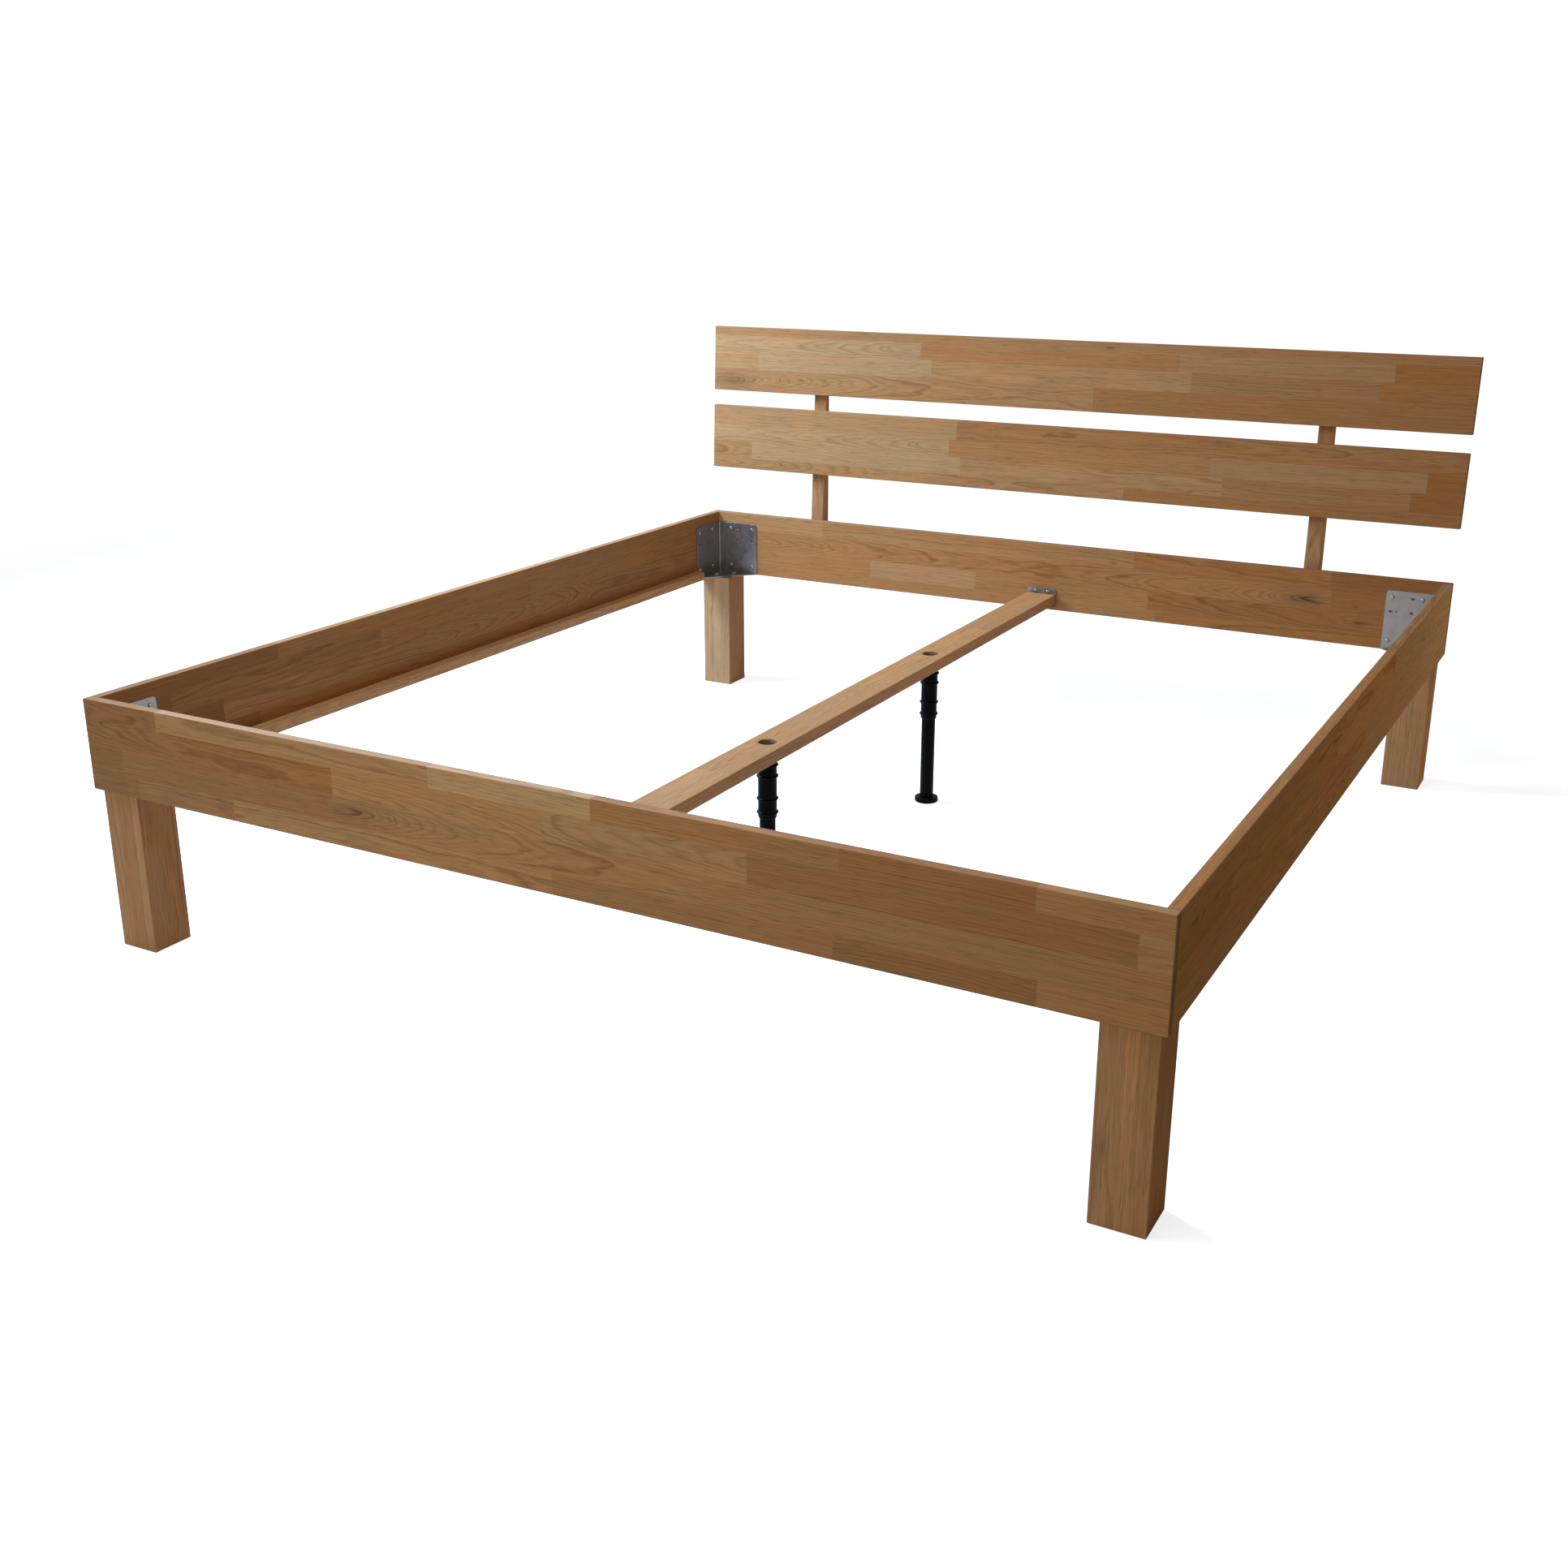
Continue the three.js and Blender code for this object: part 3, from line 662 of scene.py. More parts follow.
@dataclass
class WoodBar:
    """A bar of glued staves with eased edges: a rounded section carried along a line.

    ``rows`` run from the top edge down, and ``sides`` are rows on the two side faces, from the front back.
    Fronts and backs may lean: ``leans`` lists (along, front, back), and the section follows between them.
    Edges are rounded by ``ease`` in ``ease_points`` points, and stations lie some ``spacing`` apart.
    End grain's colour is multiplied by a darker tone, the walls of holes by a painted shade, and the top edge
    by a painted light of its own.
    """

    name: str
    place: Place
    length: float
    height: float
    thickness: float
    rows: tuple[Row, ...]
    seed: int
    ease: float = 1.4
    ease_points: int = 4
    spacing: float = 60.0
    bores: tuple[Bore, ...] = ()
    leans: tuple[tuple[float, float, float], ...] = ()
    sides: tuple[Row, ...] = ()
    end_tone: float = 0.62
    # The walls of holes get a painted shade.
    bore_painted_shade: float = 0.3
    # The top edge gets a painted light of its own, lighter or darker per bar.
    top_painted_light: tuple[float, float, float] = (1.0, 1.0, 1.0)

    def __post_init__(self) -> None:
        """Turns the rows bottom first and works out their borders."""
        self.rows, self.sides = self.rows[::-1], self.sides[::-1]
        self.borders = self._scaled(self.rows, self.height)
        self.plies = self._scaled(self.sides, self.thickness) if self.sides else np.array([])
        if not self.leans:
            self.leans = ((0.0, self.thickness / 2, -self.thickness / 2),)

    @staticmethod
    def _scaled(rows: tuple[Row, ...], size: float) -> np.ndarray:
        """Upper borders of rows, stretched to fill a size about zero."""
        borders = np.cumsum([row.height for row in rows])
        return borders / borders[-1] * size - size / 2

    def _profile(self) -> tuple[np.ndarray, np.ndarray]:
        """One side of the section, bottom to top: centres of its points, and their turn from the face.

        Returns:
            Heights of the centres, and angles that are 0 on the flat and run to a quarter turn at the edges.
        """
        corner, clear = self.height / 2 - self.ease, 0.5
        turn = np.linspace(math.pi / 2, 0, self.ease_points)
        flats = list(self.borders[:-1])
        for bore in self.bores:
            flats += [bore.up - bore.reach, bore.up + bore.reach]
        flats = np.unique(np.round([flat for flat in flats if abs(flat) < corner - clear], 4))
        edge = np.full(self.ease_points, corner)
        return np.concatenate([-edge, flats, edge]), np.concatenate([-turn, np.zeros(len(flats)), turn[::-1]])

    def _stations(self) -> tuple[np.ndarray, np.ndarray]:
        """Places along the bar: its eased ends, stave joints, bends, hole cells, and enough in between.

        Returns:
            The places, and how far the section is drawn in at each for the eased ends.
        """
        # An end is eased by most of a quarter circle, from 12 degrees off the end face to the flat.
        turn = np.radians([12, 40, 65, 90])
        rise = self.ease * (math.cos(turn[0]) - np.cos(turn))
        draw = self.ease * (1 - np.sin(turn))
        wanted = [stave.end for row in self.rows + self.sides for stave in row.staves]
        wanted += [along for along, _, _ in self.leans]
        wanted += list(np.linspace(0, self.length, max(2, round(self.length / self.spacing))))
        for bore in self.bores:
            wanted += [bore.along - bore.reach, bore.along + bore.reach]
        # Nothing comes within 2 mm of an eased end, or cuts a hole's cell in two.
        clear = rise[-1] + 2
        inside = [place for place in wanted if clear < place < self.length - clear]
        for bore in self.bores:
            inside = [place for place in inside if abs(place - bore.along) > bore.reach - 0.01]
        inside = np.unique(np.round(inside, 3))
        stations = np.concatenate([rise, inside, self.length - rise[::-1]])
        return stations, np.concatenate([draw, np.zeros(len(inside)), draw[::-1]])

    def _lattice(self) -> Lattice:
        """Carries the section along the bar: up its front, over its top, down its back and along its foot.

        A point of the section lies at centre + (ease - drawn in) * sin(turn) across the bar, and the same
        with cos(turn) out from a line that is one ease behind the face.

        Returns:
            The points as (along, up, out) in millimetres.
        """
        centres, angles = self._profile()
        stations, drawn = self._stations()
        bend = (self.ease - drawn)[:, None]
        up = centres + bend * np.sin(angles)
        lean = np.array(self.leans)
        front = np.interp(stations, lean[:, 0], lean[:, 1])[:, None] - self.ease + bend * np.cos(angles)
        back = np.interp(stations, lean[:, 0], lean[:, 2])[:, None] + self.ease - bend * np.cos(angles)
        plies = np.repeat(self.plies[None, :-1], len(stations), axis=0)
        edge = np.full(plies.shape, self.height / 2) - drawn[:, None]
        across = np.concatenate([up, edge, up[:, ::-1], -edge], axis=1)
        out = np.concatenate([front, plies[:, ::-1], back[:, ::-1], plies], axis=1)
        loop = across.shape[1]
        points = np.stack([np.repeat(stations, loop), across.ravel(), out.ravel()], axis=1)
        return Lattice(stations, centres, loop, points)

    def build(self, material: bpy.types.Material) -> bpy.types.Object:
        """Builds the bar's mesh: the section's grid, its closed ends and its holes.

        Args:
            material: The wood.

        Returns:
            The piece.
        """
        lattice = self._lattice()
        loop, half = lattice.loop, len(lattice.centres)
        quads = grid_faces(len(lattice.stations), loop, wrap_columns=True)
        far = (len(lattice.stations) - 1) * loop
        if self.sides:
            # Points that mark the side rows have no partner across, so one face closes an end.
            rim = np.arange(loop)[None, :]
            more = [rim[:, ::-1], far + rim]
        else:
            step = np.arange(half - 1)
            ladder = np.stack([step, step + 1, loop - 2 - step, loop - 1 - step], axis=1)
            quads = np.concatenate([quads, ladder, far + ladder[:, ::-1]])
            more = []
        points = lattice.points
        for bore in self.bores:
            quads, bore_points, bore_faces = self._bored(bore, lattice, quads, len(points))
            points = np.concatenate([points, bore_points])
            more += bore_faces
        piece = put_mesh(self.name, self.place.locate(points), [quads, *more], material,
                         {"grain": MM * points}, self._painted(points, quads, more))
        hold_flats(piece)
        return piece

    def _bored(
        self, bore: Bore, lattice: Lattice, quads: np.ndarray, first: int,
    ) -> tuple[np.ndarray, np.ndarray, list[np.ndarray]]:
        """Swaps the grid's cell round a bore for four faces that meet the hole's rim, and lines the hole.

        Args:
            bore: The hole.
            lattice: The bar's grid.
            quads: The faces so far.
            first: The number that the next new point gets.

        Returns:
            The faces without the cell, the new points, and the new faces.
        """
        i = int(np.argmin(abs(lattice.stations - (bore.along - bore.reach))))
        j = int(np.argmin(abs(lattice.centres - (bore.up - bore.reach))))
        turn = rim_turns(bore.sides)
        ring = np.stack([bore.along + bore.radius * np.cos(turn),
                         bore.up + bore.radius * np.sin(turn)], axis=1)
        front, back = (j, j + 1), (lattice.loop - 1 - j, lattice.loop - 2 - j)
        points, faces, rims = [], [], []
        for columns in (front, back) if bore.depth == 0 else (front,):
            cell = cell_between((i, i + 1), columns, lattice.loop)
            quads = without_cell(quads, cell)
            corners = lattice.points[cell]
            share = (ring[:, 0] - corners[0, 0]) / (corners[1, 0] - corners[0, 0])
            rim = first + bore.sides * len(points) + np.arange(bore.sides)
            points.append(np.column_stack([ring, corners[0, 2] + share * (corners[1, 2] - corners[0, 2])]))
            patch = rim_faces(cell, rim)
            faces.append(patch if columns == front else patch[:, ::-1])
            rims.append(rim)
        if bore.depth > 0:
            floor = np.full(bore.sides, points[0][:, 2].mean() - bore.depth)
            rims.append(first + bore.sides + np.arange(bore.sides))
            points.append(np.column_stack([ring, floor]))
            faces.append(rims[1][None, :])
        faces.append(np.stack([rims[0], np.roll(rims[0], -1), np.roll(rims[1], -1), rims[1]], axis=1))
        return quads, np.concatenate(points), faces

    def _painted(
        self, points: np.ndarray, quads: np.ndarray, more: Sequence[np.ndarray],
    ) -> dict[str, np.ndarray]:
        """What each face tells the wood: its stave's pith, drift, knot and tone.

        End faces have no length, and the walls of holes are faces off the grid that run inwards. Those walls
        take a painted shade, and the top edge a painted light.

        Args:
            points: All points as (along, up, out).
            quads: The faces of the grid.
            more: The faces of ends and holes.

        Returns:
            The attributes, with one row per face.
        """
        faces = [quads, *more]
        middles = np.concatenate([points[f].mean(axis=1) for f in faces])
        spread = np.concatenate([np.ptp(points[f], axis=1) for f in faces])
        numbers, table = self._staves_of(middles)
        tones = np.array([tone for tone, _ in table])[numbers]
        is_end = spread[:, 0] < 1e-6
        is_top = middles[:, 1] > self.height / 2 - 0.6 * self.ease
        is_wall = (np.arange(len(spread)) >= len(quads)) & (spread[:, 2] > 0.5) & ~is_end
        tones[is_end] *= self.end_tone
        # Painted light on the top edge.
        tones[is_top] *= self.top_painted_light
        # Painted shade on the walls of holes.
        tones[is_wall] *= self.bore_painted_shade
        figures = [figure for _, figure in table]
        pith = MM * np.array([[f.pith_along, f.pith_up, -f.pith_behind] for f in figures])
        drift = np.array([[f.slope, f.bow, f.arch] for f in figures])
        knots = MM * np.array([f.knot for f in figures])
        return {"pith": pith[numbers], "figure": drift[numbers], "knot": knots[numbers], "tone": tones}

    def _staves_of(self, middles: np.ndarray) -> tuple[np.ndarray, list[tuple]]:
        """Which stave each face belongs to.

        Args:
            middles: Face middles as (along, up, out).

        Returns:
            Stave numbers, and each stave's tone and figure.
        """
        chance = np.random.default_rng(self.seed)
        row_of = np.clip(np.searchsorted(self.borders, middles[:, 1]), 0, len(self.rows) - 1)
        if self.sides:
            beside = abs(middles[:, 1]) > self.height / 2 - 0.2 * self.ease
            ply = np.clip(np.searchsorted(self.plies, middles[:, 2]), 0, len(self.sides) - 1)
            row_of = np.where(beside, len(self.rows) + ply, row_of)
        numbers = np.zeros(len(middles), int)
        table = []
        for index, (row, top) in enumerate(zip(self.rows + self.sides, [*self.borders, *self.plies])):
            ends = np.array([stave.end for stave in row.staves])
            chosen = row_of == index
            stave_of = np.clip(np.searchsorted(ends, middles[chosen, 0]), 0, len(ends) - 1)
            numbers[chosen] = len(table) + stave_of
            for begin, stave in zip([0.0, *ends[:-1]], row.staves):
                table.append((stave.tone(), stave.placed(begin, top - row.height / 2, chance)))
        return numbers, table


# ---------------------------------------------------------------- turned and bent shapes
@dataclass(frozen=True)
class Turned:
    """A shape turned about its axis from rings of (radius, height, hexness, lobing) in millimetres.

    A ring's radius is its own times a mix of 1 and the outline of a hexagon, times 1 + lobing * cos(6 turns).
    The hexagon's outline is cos(30 degrees) over the cosine of the turn from the middle of its side.
    """

    rings: tuple[tuple[float, ...], ...]
    sides: int = 48
    hollow: bool = False

    def shape(self) -> tuple[np.ndarray, list[np.ndarray]]:
        """Works out the shape about its own axis.

        Returns:
            Points as (along, up, out) in millimetres, and arrays of faces.
        """
        rings = np.array([(*ring, 0.0, 0.0)[:4] for ring in self.rings])
        turn = np.arange(self.sides) / self.sides * 2 * math.pi
        sixth = math.pi / 3
        hexagon = math.cos(sixth / 2) / np.cos((turn + sixth / 2) % sixth - sixth / 2)
        radius = rings[:, :1] * (1 + rings[:, 2:3] * (hexagon / hexagon.mean() - 1))
        radius = radius * (1 + rings[:, 3:4] * np.cos(6 * turn))
        height = np.repeat(rings[:, 1], self.sides)
        points = np.stack([height, (radius * np.cos(turn)).ravel(), (radius * np.sin(turn)).ravel()], axis=1)
        faces = [grid_faces(len(rings), self.sides, wrap_rows=self.hollow, wrap_columns=True)[:, ::-1]]
        if not self.hollow:
            loop = np.arange(self.sides)
            faces += [loop[None, ::-1], (len(rings) - 1) * self.sides + loop[None, :]]
        return points, faces


def softened(
    rings: Sequence[tuple[float, float]], radius: float, steps: int = 4, closed: bool = True,
) -> tuple[tuple[float, float], ...]:
    """Rounds the corners of an outline of (radius, height), each by a curve that touches both its sides.

    Args:
        rings: The outline's corners in millimetres.
        radius: The largest rounding; short sides get less.
        steps: Points in a rounding, less one.
        closed: Whether the last corner joins the first; if not, both stay as they are.

    Returns:
        The rounded outline.
    """
    corners = np.array(rings, float)
    before, after = np.roll(corners, 1, axis=0) - corners, np.roll(corners, -1, axis=0) - corners
    long_before, long_after = (np.linalg.norm(v, axis=1, keepdims=True) for v in (before, after))
    reach = np.minimum(radius, 0.45 * np.minimum(long_before, long_after))
    start, finish = corners + before / long_before * reach, corners + after / long_after * reach
    share = np.linspace(0, 1, steps + 1)[None, :, None]
    curve = ((1 - share) ** 2 * start[:, None] + 2 * share * (1 - share) * corners[:, None]
             + share ** 2 * finish[:, None])
    if not closed:
        curve = np.concatenate([corners[:1], curve[1:-1].reshape(-1, 2), corners[-1:]])
    return tuple(tuple(p) for p in curve.reshape(-1, 2))


def put_turned(
    name: str, items: Sequence[tuple[Turned, Place]], material: bpy.types.Material, crease: float = 32,
) -> bpy.types.Object:
    """Puts turned shapes, each at its own place, into one piece.

    Args:
        name: The piece's name.
        items: Pairs of a shape and its place.
        material: The finish.
        crease: Edges that turn more than this many degrees stay sharp.

    Returns:
        The piece.
    """
    points, faces, total = [], [], 0
    for shape, place in items:
        local, skin = shape.shape()
        points.append(place.locate(local))
        faces += [f + total for f in skin]
        total += len(local)
    return put_mesh(name, np.concatenate(points), faces, material, crease=crease)


@dataclass(frozen=True)
class SheetHole:
    """A hole in a bent sheet, in millimetres: its middle, its radius, and half a slot's straight length."""

    path: float
    across: float
    radius: float
    half_slot: float = 0.0


def bend_marks(bend: float) -> list[float]:
    """Places along a sheet's path that draw its bend in six steps."""
    return list(np.linspace(-bend, bend, 7))


@dataclass(frozen=True)
class BentSheet:
    """A sheet bent once to a right angle, with holes and rounded outer corners, in millimetres.

    ``paths`` and ``acrosses`` are the lines of a grid whose cells take the holes and the rounded corners.
    A path runs below zero along the first flange and above zero along the second, measured from the corner
    where their outer faces would meet. Within one bend radius it turns on an arc instead.
    """

    paths: tuple[float, ...]
    acrosses: tuple[float, ...]
    bend: float
    sheet: float
    holes: tuple[SheetHole, ...]
    round_low: bool = False
    hole_sides: int = 16
    edge: float = 0.3

    def _flat(self) -> tuple[np.ndarray, list[np.ndarray]]:
        """Lays the sheet out flat, and swaps cells of its grid for holes and for rounded corners.

        Returns:
            Points as (path, across) in millimetres, and arrays of faces.
        """
        paths, acrosses = np.array(self.paths), np.array(self.acrosses)
        grid = np.stack(np.meshgrid(paths, acrosses, indexing="ij"), axis=-1).reshape(-1, 2)
        count = len(acrosses)
        quads = grid_faces(len(paths), count)
        points, faces, total = [grid], [], len(grid)
        turn = rim_turns(self.hole_sides)
        for hole in self.holes:
            i, j = np.searchsorted(paths, hole.path) - 1, np.searchsorted(acrosses, hole.across) - 1
            cell = cell_between((i, i + 1), (j, j + 1), count)
            quads = without_cell(quads, cell)
            slide = hole.half_slot * np.sign(np.round(np.cos(turn), 6))
            points.append(np.stack([hole.path + slide + hole.radius * np.cos(turn),
                                    hole.across + hole.radius * np.sin(turn)], axis=1))
            faces.append(rim_faces(cell, total + np.arange(self.hole_sides)))
            total += self.hole_sides
        turn = np.radians([15, 30, 45, 60, 75])
        for i_out, i_in in ((0, 1), (len(paths) - 1, len(paths) - 2)):
            for j_out, j_in in ([(count - 1, count - 2)] + ([(0, 1)] if self.round_low else [])):
                cell = cell_between((i_in, i_out), (j_in, j_out), count)
                quads = without_cell(quads, cell)
                reach = np.array([paths[i_out] - paths[i_in], acrosses[j_out] - acrosses[j_in]])
                middle = np.array([paths[i_in], acrosses[j_in]])
                points.append(middle + reach * np.stack([np.cos(turn), np.sin(turn)], axis=1))
                polygon = np.array([[cell[0], cell[1], *(total + np.arange(len(turn))), cell[3]]])
                faces.append(polygon if reach[0] * reach[1] > 0 else polygon[:, ::-1])
                total += len(turn)
        return np.concatenate(points), [quads, *faces]

    def _bent(self, flat: np.ndarray, start: np.ndarray, first: np.ndarray, second: np.ndarray) -> np.ndarray:
        """Bends flat points: out along ``first`` or ``second``, joined by an arc about (bend, bend).

        Args:
            flat: Points as (path, across) in millimetres.
            start: The outer corner in metres.
            first: Direction of the first flange.
            second: Direction of the second flange.

        Returns:
            The points in metres.
        """
        across = np.cross(first, second)
        path = flat[:, 0]
        turn = np.radians(225 - 45 * np.clip(path / self.bend, -1, 1))
        on_arc = abs(path) < self.bend
        along_first = np.where(on_arc, self.bend * (1 + np.cos(turn)), np.maximum(-path, 0))
        along_second = np.where(on_arc, self.bend * (1 + np.sin(turn)), np.maximum(path, 0))
        local = np.outer(along_first, first) + np.outer(along_second, second) + np.outer(flat[:, 1], across)
        return start + MM * local

    def build(
        self, name: str, start: np.ndarray, first: np.ndarray, second: np.ndarray,
        material: bpy.types.Material, plates: Sequence[np.ndarray] = (),
    ) -> bpy.types.Object:
        """Builds the sheet, then gives it its thickness towards the inside of the bend.

        Args:
            name: The piece's name.
            start: The outer corner in metres.
            first: Direction of the first flange.
            second: Direction of the second flange.
            material: The steel.
            plates: Outlines of flat plates welded to it, in metres.

        Returns:
            The piece.
        """
        flat, faces = self._flat()
        placed, total = [self._bent(flat, start, first, second)], len(flat)
        for outline in plates:
            placed.append(outline)
            faces.append(total + np.arange(len(outline))[None, :])
            total += len(outline)
        piece = put_mesh(name, np.concatenate(placed), faces, material)
        wall = piece.modifiers.new("sheet", "SOLIDIFY")
        wall.thickness = self.sheet * MM
        wall.offset = 1.0
        edge = piece.modifiers.new("edge", "BEVEL")
        edge.width = self.edge * MM
        edge.segments = 2
        edge.limit_method = "ANGLE"
        edge.angle_limit = math.radians(50)
        hold_flats(piece)
        return piece


# ---------------------------------------------------------------- where things are
def span(node: str) -> tuple[np.ndarray, np.ndarray]:
    """A CAD node's lowest and highest corners at rest, in metres."""
    low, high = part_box(node)
    return np.array(low), np.array(high)


def bar_like(node: str, along: np.ndarray, up: np.ndarray) -> dict[str, object]:
    """The place and sizes of a bar that fills a CAD node's box.

    Args:
        node: The CAD node.
        along: The bar's direction.
        up: The direction of the bar's height.

    Returns:
        Values for WoodBar's place, length, height and thickness.
    """
    low, high = span(node)
    size = (high - low) / MM
    length, height = abs(size @ along), abs(size @ up)
    thickness = abs(size @ np.cross(along, up))
    start = (low + high) / 2 - along * length * MM / 2
    return {"place": Place(start, along, up), "length": length, "height": height, "thickness": thickness}


def settle(piece: bpy.types.Object, body: str, slot: str, *nodes: str) -> None:
    """Hangs a finished piece on the body it rides on, and hides the CAD nodes it stands for.

    Args:
        piece: The finished piece.
        body: The body it rides on.
        slot: The finish's slot; not used.
        nodes: The CAD nodes it stands for.
    """
    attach(piece, body)
    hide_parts(*nodes)
    LOG.info("%s: %d faces on %s", piece.name, len(piece.data.polygons), body)


@dataclass(frozen=True)
class Finishes:
    """The built materials, made once."""

    board: bpy.types.Material
    leg: bpy.types.Material
    strip: bpy.types.Material
    sheet: bpy.types.Material
    fastener: bpy.types.Material
    plastic: bpy.types.Material

    @classmethod
    def made(cls) -> "Finishes":
        """Builds every material.

        Boards show lively, straw to russet oak with a low oil sheen. Legs are of the same oak with a calmer
        figure, and the ledges and the beam are paler strips, planed but not sanded. Dipped sheet is grey and
        cloudy, plated fasteners are finer and brighter, and the plastic is a matt, warm black.

        Returns:
            The materials.
        """
        return cls(
            board=OiledOak("oak_staves_sanded_oiled", "#B78D59", "#A97546", "#6A4225").material(),
            leg=OiledOak("oak_blocks_planed_oiled", "#B99060", "#AD7B4D", "#764E31",
                         wander_mm=3.5, hue_swing=1.1).material(),
            strip=OiledOak("oak_strips_planed", "#C9A071", "#BD8A56", "#936138",
                           wander_mm=4.0, roughness=0.56).material(),
            sheet=SatinSteel("steel_sheet_hot_dip_galvanised", "#716D69", "#8C8880", 0.42).material(),
            fastener=SatinSteel("steel_fasteners_zinc_plated", "#7E7B75", "#97938C", 0.36,
                                cloud_mm=6.0, grit=0.1).material(),
            plastic=MouldedPolyamide("polyamide_injection_moulded_black", "#090705", "#100D0A").material(),
        )


# ---------------------------------------------------------------- sub-assemblies
@dataclass
class Rails:
    """The four rails, each a panel of glued oak staves in four rows."""

    ease: float = 1.2

    def front_rows(self) -> tuple[Row, ...]:
        """The front rail's staves, with a knotted cathedral stave left of the middle.

        Returns:
            The rows from the top down.
        """
        return (
            Row(33, (
                Stave(170, -1.0, 0.7, Cut.PLAIN, Figure(120, 58, 24, 0.05, knot=(112, 60, 5))),
                Stave(740, 0.7, -0.6, Cut.PLAIN), Stave(1032, 1.6, -1.9),
                Stave(1423, -0.3, 0.3), Stave(1693, -1.0, 0.7, Cut.PLAIN, Figure(1560, 10, 24, arch=0.12)),
                Stave(1868, 0.2, 0.0))),
            Row(45, (
                Stave(205, -0.9, 0.8, Cut.PLAIN, Figure(330, 40, 20, -0.07)),
                Stave(548, -0.8, 1.4, Cut.PLAIN, Figure(390, 20, 34, arch=-0.05)),
                Stave(945, 0.6, -0.2, Cut.PLAIN, Figure(640, 2, 16, 0.05, arch=0.22)),
                Stave(1285, 0.4, -0.9, Cut.PLAIN, Figure(1300, 34, 14, -0.06, knot=(1040, 6, 12))),
                Stave(1825, -1.1, 0.3, Cut.PLAIN, Figure(1560, -50, 14, arch=0.10)),
                Stave(1868, 0.2, -0.8, Cut.PLAIN))),
            Row(45, (
                Stave(80, -1.1, 0.6), Stave(545, -0.7, 0.6),
                Stave(1215, 0.0, -0.4, Cut.CATHEDRAL, Figure(545, -20, -2, 0.12, -0.08, 0.0, (588, -22, 24))),
                Stave(1868, -0.3, -0.3, Cut.QUARTER, Figure(1560, -150, 10, arch=0.02)))),
            Row(37, (
                Stave(112, -1.2, 0.1), Stave(330, -0.6, -0.2, Cut.PLAIN), Stave(960, 0.5, -0.4, Cut.PLAIN),
                Stave(1415, -0.6, 0.3), Stave(1700, -1.2, 0.3, Cut.PLAIN, Figure(1560, -95, 12, arch=0.5)),
                Stave(1868, 0.2, 0.4))),
        )

    def head_rows(self) -> tuple[Row, ...]:
        """The head rail's staves, with a knotted cathedral stave right of the middle.
        The right end is darker and redder, partly a painted shade that follows the key light's fall-off.

        Returns:
            The rows from the top down.
        """
        return (
            Row(41, (
                Stave(330, 0.3, 0.7),
                Stave(1158, 0.0, 1.4, Cut.PLAIN, Figure(700, 40, 30, knot=(1110, 52, 5))),
                Stave(1613, -0.8, 2.6, Cut.PLAIN), Stave(1868, -1.6, 2.6))),
            Row(46, (
                Stave(1618, -0.3, 1.9, Cut.CATHEDRAL,
                      Figure(1618, 14, -2, -0.12, -0.08, 0.0, (1560, 14, 24))),
                Stave(1868, -1.3, 2.5))),
            Row(44, (
                Stave(468, -0.3, 1.7), Stave(758, 0.5, 0.0, Cut.PLAIN, Figure(618, -70, 16, arch=0.4)),
                Stave(1198, -0.1, 1.8),
                Stave(1868, -1.1, 2.8, Cut.PLAIN, Figure(1700, -20, 24, -0.04, knot=(1680, -30, 6))))),
            Row(29, (Stave(778, -0.2, 1.5), Stave(1218, -0.2, 1.6), Stave(1868, -0.8, 2.5, Cut.PLAIN))),
        )

    def left_rows(self) -> tuple[Row, ...]:
        """The left rail's staves, darkest towards the foot end.

        Returns:
            The rows from the top down.
        """
        return (
            Row(30, (Stave(410, -2.2, 2.0), Stave(980, -1.0, 1.6), Stave(1560, -0.7, 1.0),
                     Stave(2016, -0.9, 1.4))),
            Row(42, (Stave(150, -2.4, 2.2), Stave(690, -1.7, 1.9, Cut.PLAIN), Stave(1190, -1.0, 1.6),
                     Stave(1700, -0.6, 1.1), Stave(2016, -0.8, 1.6, Cut.PLAIN))),
            Row(43, (Stave(265, -2.6, 2.4), Stave(830, -1.1, 1.4, Cut.PLAIN),
                     Stave(1420, -0.8, 1.4, Cut.CATHEDRAL), Stave(2016, -0.9, 1.5, Cut.PLAIN))),
            Row(45, (Stave(350, -2.4, 2.6), Stave(1230, -1.6, 2.4, Cut.PLAIN), Stave(2016, -1.2, 1.8))),
        )

    def right_rows(self) -> tuple[Row, ...]:
        """The right rail's staves, with a small knot near the front end.

        Returns:
            The rows from the top down.
        """
        return (
            Row(36, (Stave(735, 0.1, 1.0), Stave(1370, 0.6, 1.5, Cut.PLAIN), Stave(2016, 0.3, -0.8))),
            Row(44, (Stave(240, -0.5, 1.4, Cut.PLAIN, Figure(60, 38, 20, 0.05, knot=(62, 40, 7))),
                     Stave(880, 0.1, 1.3, Cut.PLAIN), Stave(1480, 0.9, 0.6),
                     Stave(2016, 0.3, -0.7, Cut.PLAIN))),
            Row(42, (Stave(560, 0.0, 1.5), Stave(1130, 0.5, 1.7, Cut.PLAIN), Stave(1700, 0.4, -0.4),
                     Stave(2016, 0.4, -1.1))),
            Row(38, (Stave(385, 0.1, 0.7), Stave(1020, 0.2, 1.6, Cut.CATHEDRAL), Stave(1590, 0.4, 0.2),
                     Stave(2016, 0.1, -0.6))),
        )

